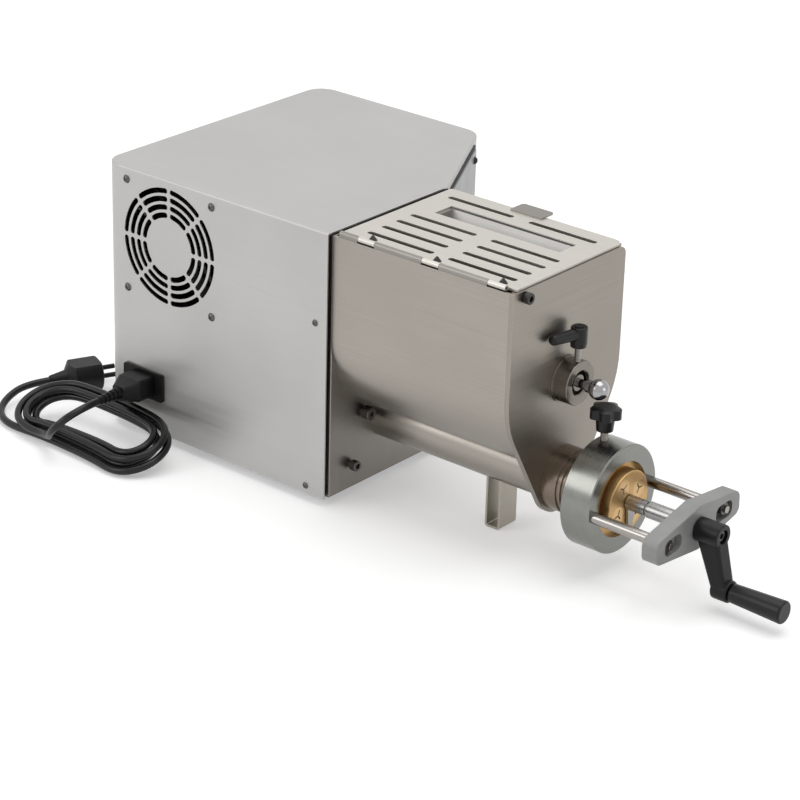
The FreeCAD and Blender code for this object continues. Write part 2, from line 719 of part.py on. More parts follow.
def gearbox():
    front = -PLATE_THICKNESS
    back = front - GEARBOX_LENGTH
    y0 = HOPPER_CENTRE_Y - GEARBOX_WIDTH / 2
    y1 = HOPPER_CENTRE_Y + GEARBOX_WIDTH / 2
    low = GEARBOX_BOTTOM
    high = low + GEARBOX_HEIGHT
    points = [V(back, y0, low), V(back, y1, low), V(back, y1, high), V(back, y0, high)]
    body = prism(points, [GEARBOX_CORNER] * 4, X_DIR * GEARBOX_LENGTH)
    for axis in (AUGER_AXIS, MIXER_AXIS):
        body = body.cut(axial(SHAFT_RADIUS + SHAFT_FIT, back + 12, front + 1, axis))
    return body


def motor_cradle():
    """Bracket between the motor and the base tray."""
    front = -PLATE_THICKNESS - GEARBOX_LENGTH
    axis = V(0, HOPPER_CENTRE_Y + MOTOR_OFFSET, AUGER_HEIGHT + MOTOR_RISE)
    low = FOOT_HEIGHT + SHEET
    back = front - MOTOR_LENGTH + MOTOR_CRADLE_INSET
    near = axis.y - MOTOR_CRADLE_HALF_WIDTH
    far = axis.y + MOTOR_CRADLE_HALF_WIDTH
    block = box(back, back + MOTOR_CRADLE_WALL, near, far, low, axis.z - MOTOR_CRADLE_DROP)
    block = block.fuse(box(back, back + MOTOR_CRADLE_FOOT, near, far, low, low + MOTOR_CRADLE_THICKNESS))
    return block.cut(axial(MOTOR_RADIUS, front - MOTOR_LENGTH, front, axis))


def power_inlet():
    """Appliance inlet: flange, body with a shaped cavity and three flat pins."""
    flange = centred_block(INLET_FLANGE_WIDTH, INLET_FLANGE_HEIGHT, INLET_FLANGE_THICKNESS, 3.0)
    flange.translate(V(0, -INLET_FLANGE_THICKNESS, 0))
    body = centred_block(INLET_BODY_WIDTH - 0.6, INLET_BODY_HEIGHT - 0.6, INLET_BODY_DEPTH, 3.0)
    w = INLET_CAVITY_WIDTH / 2
    h = INLET_CAVITY_HEIGHT / 2
    points = [V(-w, 0, -h), V(w, 0, -h), V(w, 0, h - 5), V(w - 5, 0, h), V(5 - w, 0, h), V(-w, 0, h - 5)]
    cavity = prism(points, [1.5] * 6, Y_DIR * INLET_CAVITY_DEPTH)
    cavity.translate(V(0, -INLET_FLANGE_THICKNESS - 0.01, 0))
    shape = flange.fuse(body).cut(cavity)
    floor = INLET_CAVITY_DEPTH - INLET_FLANGE_THICKNESS
    for dx, dz in ((-INLET_PIN_SPACING, -2.0), (0, 2.0), (INLET_PIN_SPACING, -2.0)):
        pin = Part.makeBox(INLET_PIN_THICKNESS, INLET_CAVITY_DEPTH - 3, INLET_PIN_WIDTH,
                           V(dx - INLET_PIN_THICKNESS / 2, floor - INLET_CAVITY_DEPTH + 3,
                             dz - INLET_PIN_WIDTH / 2))
        shape = shape.fuse(pin)
    shape.translate(V(INLET_X, 0, INLET_CENTRE_Z))
    return shape


def connector_tip():
    y = -INLET_FLANGE_THICKNESS - CONNECTOR_NOSE_GAP - CONNECTOR_LENGTH - RELIEF_LENGTH
    return V(INLET_X, y, INLET_CENTRE_Z)


def cord_connector():
    """Moulded plug on the inlet: a block that narrows to a ringed strain relief."""
    front = -INLET_FLANGE_THICKNESS - CONNECTOR_NOSE_GAP
    w = CONNECTOR_WIDTH / 2
    h = CONNECTOR_HEIGHT / 2
    straight = CONNECTOR_LENGTH * 0.55

    def section(y, half_w, half_h, corner):
        points = [V(-half_w, y, -half_h), V(half_w, y, -half_h), V(half_w, y, half_h), V(-half_w, y, half_h)]
        return rounded_wire(points, [corner] * 4)
    body = Part.Face(section(front, w, h, 3.0)).extrude(Y_DIR * -straight)
    taper = Part.makeLoft([section(front - straight, w, h, 3.0),
                           section(front - CONNECTOR_LENGTH, 7.0, 7.0, 3.0)], True)
    relief = Part.makeCone(RELIEF_RADIUS, CORD_RADIUS + 0.6, RELIEF_LENGTH,
                           V(0, front - CONNECTOR_LENGTH, 0), Y_DIR * -1)
    shape = body.fuse(taper).fuse(relief)
    for k in range(4):
        y = front - CONNECTOR_LENGTH - 4 - k * 5.0
        groove = Part.makeCylinder(9, 1.4, V(0, y, 0), Y_DIR * -1)
        groove = groove.cut(Part.makeCylinder(RELIEF_RADIUS - 1.6 - k * 0.35, 2, V(0, y + 0.2, 0),
                                              Y_DIR * -1))
        shape = shape.cut(groove)
    nose = centred_block(INLET_CAVITY_WIDTH - 1.2, INLET_CAVITY_HEIGHT - 1.2, 0.5, 2.0)
    nose.translate(V(0, front, 0))
    shape = shape.fuse(nose)
    shape.translate(V(INLET_X, 0, INLET_CENTRE_Z))
    return shape


def hopper_section(half, x):
    """U outline of the trough at a distance from the centre plane, closed at the top."""
    top = V(x, HOPPER_CENTRE_Y - half, HOPPER_TOP)
    low = V(x, HOPPER_CENTRE_Y - half, MIXER_HEIGHT)
    bottom = V(x, HOPPER_CENTRE_Y, MIXER_HEIGHT - half)
    far_low = V(x, HOPPER_CENTRE_Y + half, MIXER_HEIGHT)
    far_top = V(x, HOPPER_CENTRE_Y + half, HOPPER_TOP)
    return Part.Wire([line_edge(top, low), arc_edge(low, bottom, far_low), line_edge(far_low, far_top),
                      line_edge(far_top, top)])


def hopper_trough():
    length = HOPPER_LENGTH - END_PLATE_THICKNESS
    outer = Part.Face(hopper_section(HOPPER_HALF_WIDTH, 0)).extrude(X_DIR * length)
    inner = Part.Face(hopper_section(HOPPER_HALF_WIDTH - HOPPER_WALL, -1)).extrude(X_DIR * (length + 2))
    slot = axial(BARREL_BORE, AUGER_START - FEED_SLOT_MARGIN, length + 1)
    return outer.cut(inner).cut(slot)


def auger_barrel():
    length = HOPPER_LENGTH - END_PLATE_THICKNESS
    tube = axial(BARREL_RADIUS, 0, length).cut(axial(BARREL_BORE, -1, length + 1))
    trough = Part.Face(hopper_section(HOPPER_HALF_WIDTH, -1)).extrude(X_DIR * (length + 2))
    return tube.cut(trough)


def end_plate():
    """Plate that closes the hopper: round shoulders running down to the barrel neck."""
    x = HOPPER_LENGTH - END_PLATE_THICKNESS
    big = HOPPER_HALF_WIDTH
    small = END_PLATE_FOOT_RADIUS
    drop = MIXER_HEIGHT - AUGER_HEIGHT
    lean = math.asin((big - small) / drop)

    def at(centre, radius, angle, side):
        return V(x, HOPPER_CENTRE_Y + side * radius * math.cos(angle), centre - radius * math.sin(angle))
    near = -1
    far = 1
    corner = END_PLATE_CORNER
    start = V(x, HOPPER_CENTRE_Y - big, HOPPER_TOP)
    far_top = V(x, HOPPER_CENTRE_Y + big, HOPPER_TOP)
    edges = [line_edge(start, at(MIXER_HEIGHT, big, 0, near)),
             arc_edge(at(MIXER_HEIGHT, big, 0, near), at(MIXER_HEIGHT, big, lean / 2, near),
                      at(MIXER_HEIGHT, big, lean, near)),
             line_edge(at(MIXER_HEIGHT, big, lean, near), at(AUGER_HEIGHT, small, lean, near)),
             arc_edge(at(AUGER_HEIGHT, small, lean, near), V(x, HOPPER_CENTRE_Y, AUGER_HEIGHT - small),
                      at(AUGER_HEIGHT, small, lean, far)),
             line_edge(at(AUGER_HEIGHT, small, lean, far), at(MIXER_HEIGHT, big, lean, far)),
             arc_edge(at(MIXER_HEIGHT, big, lean, far), at(MIXER_HEIGHT, big, lean / 2, far),
                      at(MIXER_HEIGHT, big, 0, far)),
             line_edge(at(MIXER_HEIGHT, big, 0, far), far_top - Z_DIR * corner),
             arc_edge(far_top - Z_DIR * corner,
                      far_top + V(0, -corner, -corner) + V(0, corner, corner) * math.sqrt(0.5),
                      far_top - Y_DIR * corner),
             line_edge(far_top - Y_DIR * corner, start)]
    plate = Part.Face(Part.Wire(edges)).extrude(X_DIR * END_PLATE_THICKNESS)
    plate = plate.cut(axial(BARREL_BORE, x - 1, HOPPER_LENGTH + 1))
    return plate.cut(axial(SHAFT_RADIUS + SHAFT_FIT, x - 1, HOPPER_LENGTH + 1, MIXER_AXIS))


def barrel_neck():
    """Neck of the barrel with its rings, and the wide spigot that carries the clamp ring."""
    neck = axial(NECK_RADIUS, HOPPER_LENGTH, SPIGOT_START)
    for k in range(3):
        start = HOPPER_LENGTH + NECK_GROOVE_START + k * NECK_GROOVE_WIDTH * 2
        groove = axial(NECK_RADIUS + 2, start, start + NECK_GROOVE_WIDTH)
        neck = neck.cut(groove.cut(axial(NECK_RADIUS - NECK_GROOVE_DEPTH, start - 1, start + 9)))
    neck = neck.fuse(axial(SPIGOT_RADIUS, SPIGOT_START, SPIGOT_END))
    neck = neck.cut(axial(BARREL_BORE, HOPPER_LENGTH - 1, SPIGOT_START + 4))
    return neck.cut(cone(BARREL_BORE, SPIGOT_MOUTH_RADIUS, SPIGOT_START + 4, SPIGOT_END))


def foot_strap():
    """Bent strap that carries the barrel: a U of sheet welded under it."""
    x0 = FOOT_STRAP_X
    x1 = x0 + FOOT_STRAP_SPAN
    t = FOOT_STRAP_THICKNESS
    y0 = HOPPER_CENTRE_Y - FOOT_STRAP_WIDTH / 2
    top = AUGER_HEIGHT
    outer = prism([V(x0, y0, 0), V(x1, y0, 0), V(x1, y0, top), V(x0, y0, top)],
                  [FOOT_STRAP_BEND, FOOT_STRAP_BEND, 0, 0], Y_DIR * FOOT_STRAP_WIDTH)
    inner = prism([V(x0 + t, y0, t), V(x1 - t, y0, t), V(x1 - t, y0, top + 1), V(x0 + t, y0, top + 1)],
                  [FOOT_STRAP_BEND - t, FOOT_STRAP_BEND - t, 0, 0], Y_DIR * FOOT_STRAP_WIDTH)
    return outer.cut(inner).cut(axial(BARREL_RADIUS, x0 - 5, x1 + 5))


def auger():
    """Screw with a helical flight on a tapered core, on the drive shaft."""
    start = AUGER_START
    length = AUGER_PITCH * AUGER_TURNS
    end = start + length
    core = axial(AUGER_CORE_RADIUS, start, end)
    helix = Part.makeHelix(AUGER_PITCH, length, AUGER_CORE_RADIUS)
    half = AUGER_FLIGHT_THICKNESS / 2
    r0 = AUGER_CORE_RADIUS - 0.8
    r1 = AUGER_RADIUS
    points = [V(r0, 0, -half - 0.8), V(r1, 0, -half), V(r1, 0, half), V(r0, 0, half + 0.8)]
    profile = Part.makePolygon(points + points[:1])
    sweep = Part.BRepOffsetAPI.MakePipeShell(Part.Wire(helix))
    sweep.setFrenetMode(True)
    sweep.add(profile)
    sweep.build()
    sweep.makeSolid()
    flight = sweep.shape()
    flight.Placement = FreeCAD.Placement(AUGER_AXIS + V(start, 0, 0), FreeCAD.Rotation(Z_DIR, X_DIR))
    keep = axial(AUGER_RADIUS + 1, start, end)
    flight = flight.common(keep)
    shaft = axial(SHAFT_RADIUS, -PLATE_THICKNESS - GEARBOX_LENGTH + 14, start)
    return core.fuse(flight).fuse(shaft)


def mixer():
    """Mixing shaft with paddles, each an arm with a broad blade set across it."""
    shaft = axial(SHAFT_RADIUS, -PLATE_THICKNESS - GEARBOX_LENGTH + 14, HOPPER_LENGTH + 1.5, MIXER_AXIS)
    socket = axial(PIN_RADIUS + 0.3, HOPPER_LENGTH - 18, HOPPER_LENGTH + 5, MIXER_AXIS)
    shape = shaft.cut(socket)
    for k in range(PADDLE_COUNT):
        x = PADDLE_START + k * PADDLE_PITCH
        arm = rod(PADDLE_RADIUS, MIXER_AXIS + V(x, 0, 0), MIXER_AXIS + V(x, 0, PADDLE_REACH))
        blade = box(x - PADDLE_BLADE_WIDTH / 2, x + PADDLE_BLADE_WIDTH / 2,
                    HOPPER_CENTRE_Y - PADDLE_BLADE_THICKNESS / 2,
                    HOPPER_CENTRE_Y + PADDLE_BLADE_THICKNESS / 2,
                    MIXER_HEIGHT + PADDLE_REACH * 0.55, MIXER_HEIGHT + PADDLE_REACH)
        blade = blade.rotated(MIXER_AXIS + V(x, 0, 0), Z_DIR, 35 if k % 2 else -35)
        paddle = arm.fuse(blade).rotated(MIXER_AXIS, X_DIR, 90.0 * k)
        shape = shape.fuse(paddle.cut(socket))
    return shape


def shaft_boss():
    boss = axial(BOSS_RADIUS, HOPPER_LENGTH, HOPPER_LENGTH + BOSS_LENGTH, MIXER_AXIS)
    front = [e for e in boss.Edges if e.Closed and e.CenterOfMass.x > HOPPER_LENGTH + 1]
    boss = boss.makeFillet(0.8, front)
    rim = axial(BOSS_RADIUS + BOSS_RIM, HOPPER_LENGTH, HOPPER_LENGTH + 1.6, MIXER_AXIS)
    boss = boss.fuse(rim)
    front_x = HOPPER_LENGTH + BOSS_LENGTH
    boss = boss.cut(axial(BOSS_BORE, front_x - BOSS_BORE_DEPTH, front_x + 1, MIXER_AXIS))
    boss = boss.cut(cone(BOSS_BORE, BOSS_BORE + 1.5, front_x - 1.5, front_x + 0.01, MIXER_AXIS))
    sleeve = axial(BOSS_BORE - 3.2, front_x - BOSS_BORE_DEPTH, front_x - 2, MIXER_AXIS)
    boss = boss.fuse(sleeve)
    boss = boss.cut(axial(PIN_RADIUS + SHAFT_FIT, HOPPER_LENGTH + 1.5, front_x + 1, MIXER_AXIS))
    boss = boss.cut(axial(SHAFT_RADIUS + SHAFT_FIT, HOPPER_LENGTH - 1, HOPPER_LENGTH + 2.0, MIXER_AXIS))
    hole = rod(LEVER_STUD_RADIUS + 0.05, lever_foot() - Z_DIR * 1, lever_foot() + Z_DIR * 20)
    return boss.cut(hole)


def lever_foot():
    """Bottom of the clamp stud, just clear of the bore in the boss."""
    return MIXER_AXIS + V(HOPPER_LENGTH + LEVER_OFFSET, 0, BOSS_BORE + 2.8)


def lever_top():
    foot = lever_foot()
    return V(foot.x, foot.y, MIXER_HEIGHT + BOSS_RADIUS + LEVER_STUD_EXPOSED)


def clamp_stud():
    return rod(LEVER_STUD_RADIUS, lever_foot() + Z_DIR * 0.4, lever_top())


def clamp_lever():
    """Adjustable clamping lever: a drum hub with a curved arm ending in a ball."""
    base = lever_top()
    hub = Part.makeCone(LEVER_HUB_RADIUS - 0.6, LEVER_HUB_RADIUS, 4.0, base)
    hub = hub.fuse(Part.makeCylinder(LEVER_HUB_RADIUS, LEVER_HUB_HEIGHT - 4.0, base + Z_DIR * 4.0))
    top = [e for e in hub.Edges if e.Closed and e.BoundBox.ZMin > base.z + LEVER_HUB_HEIGHT - 0.01]
    hub = hub.makeFillet(1.6, top)
    a = math.radians(LEVER_ANGLE)
    along = V(math.cos(a), math.sin(a), 0)
    start = base + Z_DIR * (LEVER_HUB_HEIGHT - 6.6)
    end = base + along * LEVER_REACH + Z_DIR * (LEVER_HUB_HEIGHT - 6.0)
    arm = round_ended_arm(LEVER_ROOT_RADIUS, LEVER_END_RADIUS, (end - start).Length)
    button_top = Part.makeCylinder(4.4, 1.2, base + Z_DIR * (LEVER_HUB_HEIGHT - 0.5))
    return hub.fuse(aimed(arm, start, end - start)).fuse(button_top)


def round_ended_arm(root, tip, length):
    """Tapered arm along +Z with a half-round end, made in one turn of its outline."""
    corner = tip * math.sqrt(0.5)
    outline = Part.Wire([line_edge(V(0, 0, 0), V(root, 0, 0)), line_edge(V(root, 0, 0), V(tip, 0, length)),
                         arc_edge(V(tip, 0, length), V(corner, 0, length + corner), V(0, 0, length + tip)),
                         line_edge(V(0, 0, length + tip), V(0, 0, 0))])
    return Part.Face(outline).revolve(V(0, 0, 0), Z_DIR, 360)


def lock_pin():
    """Pull pin that holds the mixing shaft."""
    return axial(PIN_RADIUS, HOPPER_LENGTH - 12, HOPPER_LENGTH + PIN_BALL_DISTANCE - 7, MIXER_AXIS)


def pin_ball():
    centre = MIXER_AXIS + V(HOPPER_LENGTH + PIN_BALL_DISTANCE, 0, 0)
    ball = Part.makeSphere(PIN_GRIP_RADIUS, centre)
    collar = axial(PIN_RADIUS + 1.6, HOPPER_LENGTH + PIN_BALL_DISTANCE - 11,
                   HOPPER_LENGTH + PIN_BALL_DISTANCE - 6, MIXER_AXIS)
    bore = axial(PIN_RADIUS, HOPPER_LENGTH, HOPPER_LENGTH + PIN_BALL_DISTANCE - 7, MIXER_AXIS)
    return ball.fuse(collar).cut(bore)


def clamp_ring():
    """Heavy ring round the die with a lip in front."""
    ring = axial(RING_RADIUS, RING_START, RING_END)
    ends = [e for e in ring.Edges if e.Closed]
    ring = ring.makeChamfer(RING_CHAMFER, ends)
    seat = SPIGOT_END + DIE_FLANGE_THICKNESS
    ring = ring.cut(axial(SPIGOT_RADIUS + RING_FIT, RING_START - 1, seat))
    ring = ring.cut(axial(RING_OPENING, RING_START, RING_END + 1))
    hole = rod(STAR_STUD_RADIUS + 0.05, star_place(SPIGOT_RADIUS - 2), star_place(RING_RADIUS + 5))
    ring = ring.cut(hole)
    for side in (-1, 1):
        place = tilted(side * ROD_CIRCLE, 0)
        ring = ring.cut(rod(ROD_ROOT_RADIUS, place + V(seat, 0, 0), place + V(RING_END + 1, 0, 0)))
    return ring


def star_place(height):
    return AUGER_AXIS + V(RING_START + STAR_SETBACK, 0, height)


def star_stud():
    tip = star_place(SPIGOT_RADIUS + STAR_STUD_GAP)
    return rod(STAR_STUD_RADIUS, tip, star_place(RING_RADIUS + STAR_STUD_EXPOSED))


def star_knob():
    """Lobed hand knob on a tapered neck."""
    base = star_place(RING_RADIUS + STAR_STUD_EXPOSED)
    neck = Part.makeCone(STAR_NECK_RADIUS - 1.2, STAR_NECK_RADIUS, STAR_NECK_HEIGHT + 1, base)
    head_base = base + Z_DIR * STAR_NECK_HEIGHT
    head = Part.makeCylinder(STAR_RADIUS - 2.4, STAR_LOBE_HEIGHT, head_base)
    for k in range(STAR_LOBES):
        angle = math.radians(20 + 360 * k / STAR_LOBES)
        out = V(math.cos(angle), math.sin(angle), 0) * (STAR_RADIUS - STAR_LOBE_RADIUS)
        head = head.fuse(Part.makeCylinder(STAR_LOBE_RADIUS, STAR_LOBE_HEIGHT, head_base + out))
        mid = math.radians(20 + 360 * (k + 0.5) / STAR_LOBES)
        dip = V(math.cos(mid), math.sin(mid), 0) * (STAR_RADIUS + 1.6)
        head = head.cut(Part.makeCylinder(4.6, STAR_LOBE_HEIGHT, head_base + dip))
    dish = Part.makeSphere(40.0, head_base + Z_DIR * (STAR_LOBE_HEIGHT - 39.0))
    head = head.common(dish.fuse(Part.makeCylinder(STAR_RADIUS + 2, STAR_LOBE_HEIGHT - 1.2, head_base)))
    return head.fuse(neck).removeSplitter()


def die_insert_places():
    places = []
    for k in range(DIE_INSERTS):
        angle = math.radians(DIE_INSERT_START_ANGLE + 360 * k / DIE_INSERTS)
        places.append(V(0, math.cos(angle), math.sin(angle)) * DIE_INSERT_CIRCLE + AUGER_AXIS)
    return places


def die_body():
    """Brass die: flange held by the ring, and a plug with a pocket for each insert."""
    flange_end = SPIGOT_END + DIE_FLANGE_THICKNESS
    flange = axial(DIE_FLANGE_RADIUS, SPIGOT_END, flange_end)
    plug = axial(DIE_PLUG_RADIUS, flange_end, DIE_FACE)
    rim = [e for e in plug.Edges if e.Closed and e.CenterOfMass.x > DIE_FACE - 0.1]
    plug = plug.makeFillet(DIE_EDGE, rim)
    die = flange.fuse(plug)
    for place in die_insert_places():
        die = die.cut(axial(DIE_INSERT_RADIUS, DIE_FACE - 7, DIE_FACE + 1, place))
        die = die.cut(axial(DIE_INSERT_RADIUS - 2.5, SPIGOT_END - 1, DIE_FACE, place))
    return die.cut(axial(DIE_CENTRE_BORE, DIE_FACE - 8, DIE_FACE + 1))


def die_inserts():
    """Shaping inserts, each with three curled slots."""
    inserts = []
    for index, place in enumerate(die_insert_places()):
        insert = axial(DIE_INSERT_RADIUS, DIE_FACE - 7, DIE_FACE, place)
        for k in range(3):
            arm = box(DIE_FACE - 9, DIE_FACE + 1, 0.2, DIE_INSERT_RADIUS * 0.62,
                      -DIE_INSERT_SLOT / 2, DIE_INSERT_SLOT / 2)
            arm = arm.rotated(V(0, 0, 0), X_DIR, 120 * k + 35 * index)
            arm.translate(place)
            insert = insert.cut(arm)
        inserts.append(insert)
    return inserts


def guide_rod(side):
    """Rod between the ring and the yoke, with a thinner threaded end for its nut."""
    seat = tilted(side * ROD_CIRCLE, 0)
    lip = SPIGOT_END + DIE_FLANGE_THICKNESS
    root = rod(ROD_ROOT_RADIUS, seat + V(lip, 0, 0), seat + V(RING_END, 0, 0))
    body = rod(ROD_RADIUS, seat + V(RING_END, 0, 0), seat + V(YOKE_BACK, 0, 0))
    thread = rod(ROD_THREAD_RADIUS, seat + V(YOKE_BACK, 0, 0), seat + V(YOKE_FRONT + 0.5, 0, 0))
    return root.fuse(body).fuse(thread)


def yoke():
    """Cast bar, widest at the middle, with a pocket for each nut."""
    half = YOKE_HALF_LENGTH
    end = YOKE_END_HALF_HEIGHT
    mid = YOKE_HALF_HEIGHT
    outline = [(-half, -end), (0, -mid), (half, -end), (half, end), (0, mid), (-half, end)]
    points = [tilted(y, z) + V(YOKE_BACK, 0, 0) for y, z in outline]
    fillet = YOKE_END_FILLET
    body = prism(points, [fillet, 2.5, fillet, fillet, 2.5, fillet], X_DIR * YOKE_THICKNESS)
    front = [e for e in body.Edges if abs(e.BoundBox.XMin - YOKE_FRONT) < 0.01
             and e.BoundBox.XLength < 0.01]
    body = body.makeFillet(1.2, front)
    for side in (-1, 1):
        body = body.cut(yoke_pocket(side))
        seat = tilted(side * ROD_CIRCLE, 0)
        body = body.cut(rod(ROD_THREAD_RADIUS, seat + V(YOKE_BACK - 1, 0, 0), seat + V(YOKE_FRONT + 2, 0, 0)))
    return body.cut(axial(BUSH_RADIUS, YOKE_BACK - 1, YOKE_FRONT + 1))


def yoke_pocket(side):
    """Long recess with round ends that holds a nut."""
    outer = side * (ROD_CIRCLE + 8.0)
    inner = side * (ROD_CIRCLE + 8.0 - YOKE_POCKET_LENGTH)
    h = YOKE_POCKET_WIDTH / 2
    low = min(outer, inner)
    high = max(outer, inner)
    start = V(YOKE_FRONT - YOKE_POCKET_DEPTH, 0, 0)
    points = [tilted(low, -h) + start, tilted(high, -h) + start, tilted(high, h) + start,
              tilted(low, h) + start]
    return prism(points, [h - 1.5] * 4, X_DIR * (YOKE_POCKET_DEPTH + 1))


def rod_nut(side):
    seat = tilted(side * ROD_CIRCLE, 0) + V(YOKE_FRONT - YOKE_POCKET_DEPTH, 0, 0)
    nut = hexagon(NUT_ACROSS_FLATS, NUT_HEIGHT)
    nut = nut.common(Part.makeCone(NUT_ACROSS_FLATS * 0.66, NUT_ACROSS_FLATS * 0.5, NUT_HEIGHT))
    nut = nut.cut(Part.makeCylinder(ROD_THREAD_RADIUS, NUT_HEIGHT + 1))
    return aimed(nut, seat, X_DIR)


def yoke_bush():
    bush = axial(BUSH_RADIUS, YOKE_BACK, YOKE_FRONT)
    return bush.cut(axial(CUTTER_SHAFT_RADIUS + SHAFT_FIT, YOKE_BACK - 1, YOKE_FRONT + 1))


def cutter_shaft():
    shaft = axial(CUTTER_SHAFT_RADIUS, SLEEVE_START - 2, CRANK_FRONT - 8)
    sleeve = axial(SLEEVE_RADIUS, SLEEVE_START, YOKE_BACK - 0.4)
    ends = [e for e in sleeve.Edges if e.Closed]
    sleeve = sleeve.makeChamfer(0.6, ends)
    return shaft.fuse(sleeve)


def cutter_blade():
    """Single flat blade on a hub, sweeping just off the die face."""
    back = DIE_FACE + BLADE_CLEARANCE
    hub = axial(BLADE_HUB_RADIUS, back, SLEEVE_START - 2)
    root = BLADE_ROOT_WIDTH / 2
    tip = BLADE_TIP_WIDTH / 2
    centre = AUGER_AXIS + V(back, 0, 0)
    points = [centre + V(0, -root * 0.55, 0), centre + V(0, -tip, -BLADE_REACH),
              centre + V(0, tip, -BLADE_REACH), centre + V(0, root * 1.15, 2.0),
              centre + V(0, 0, 4.0)]
    blade = prism(points, [0, 1.0, 1.0, 2.0, 0], X_DIR * BLADE_THICKNESS)
    return hub.fuse(blade)


def crank_arm():
    """Moulded crank: round hub, an arm that leans outwards and a round end."""
    hub = axial(CRANK_HUB_RADIUS, CRANK_BACK, CRANK_FRONT)
    hub = hub.makeFillet(1.0, [e for e in hub.Edges if e.Closed])
    pin_axis = V(0, HOPPER_CENTRE_Y, CRANK_PIN_HEIGHT)
    end = axial(CRANK_END_RADIUS, CRANK_END_BACK, CRANK_END_FRONT, pin_axis)
    end = end.makeFillet(1.6, [e for e in end.Edges if e.Closed])
    y0 = HOPPER_CENTRE_Y - CRANK_ARM_WIDTH / 2
    top = AUGER_HEIGHT - 2.0
    low = CRANK_PIN_HEIGHT
    points = [V(CRANK_BACK + 0.6, y0, top), V(CRANK_END_BACK + 0.8, y0, low - 3),
              V(CRANK_END_FRONT - 0.8, y0, low - 3), V(CRANK_FRONT - 0.6, y0, top)]
    arm = Part.Face(Part.makePolygon(points + points[:1])).extrude(Y_DIR * CRANK_ARM_WIDTH)
    long_edges = [e for e in arm.Edges if e.BoundBox.ZLength > 20]
    arm = arm.makeFillet(3.5, long_edges)
    shape = hub.fuse(arm).fuse(end)
    shape = shape.cut(axial(CUTTER_SHAFT_RADIUS, CRANK_BACK - 1, CRANK_FRONT - 8))
    recess = CRANK_FRONT - CRANK_SCREW_RECESS
    shape = shape.cut(axial(CRANK_SCREW_RADIUS + 1.2, recess - CAP_HEAD_HEIGHT, CRANK_FRONT + 1))
    pin = axial(GRIP_PIN_RADIUS, CRANK_END_BACK + 4, GRIP_FINISH - 8, pin_axis)
    return shape.fuse(pin)


def crank_screw():
    recess = CRANK_FRONT - CRANK_SCREW_RECESS
    head = axial(CRANK_SCREW_RADIUS, recess - CAP_HEAD_HEIGHT, recess)
    socket = aimed(hexagon(CAP_SOCKET, CAP_SOCKET_DEPTH + 1),
                   AUGER_AXIS + V(recess - CAP_SOCKET_DEPTH, 0, 0), X_DIR)
    return head.cut(socket)


def crank_grip():
    """Turning grip, thicker at its outer end."""
    axis = V(0, HOPPER_CENTRE_Y, CRANK_PIN_HEIGHT)
    grip = cone(GRIP_ROOT_RADIUS, GRIP_END_RADIUS, GRIP_START, GRIP_FINISH, axis)
    rims = [e for e in grip.Edges if e.Closed]
    grip = grip.makeFillet(2.0, rims)
    return grip.cut(axial(GRIP_PIN_RADIUS + GRIP_FIT, GRIP_START - 1, GRIP_FINISH - 7.9, axis))


# Lid places, measured from the hinge pin
LID_LEVEL = HOPPER_TOP + LID_GAP
HINGE_Y = HOPPER_CENTRE_Y - HOPPER_HALF_WIDTH + LID_HINGE_INSET - LID_HINGE_RADIUS
HINGE_Z = LID_LEVEL + LID_HINGE_RADIUS
LID_NEAR_Y = HINGE_Y + 1.2
LID_FAR_Y = HOPPER_CENTRE_Y + HOPPER_HALF_WIDTH - LID_FAR_INSET
LID_BACK = LID_END_GAP
LID_FRONT = HOPPER_LENGTH - LID_FRONT_INSET


def slot_cutter(x, y, length, width):
    """Long slot with round ends through the lid."""
    radius = width / 2
    points = [V(x, y - radius, LID_LEVEL - 1), V(x + length, y - radius, LID_LEVEL - 1),
              V(x + length, y + radius, LID_LEVEL - 1), V(x, y + radius, LID_LEVEL - 1)]
    return prism(points, [radius - 0.05] * 4, Z_DIR * (LID_THICKNESS + 2))


def feed_span():
    y0 = HINGE_Y + LID_FEED_FROM_HINGE
    x0 = LID_BACK + LID_FEED_START
    return x0, x0 + LID_FEED_LENGTH, y0, y0 + LID_FEED_WIDTH


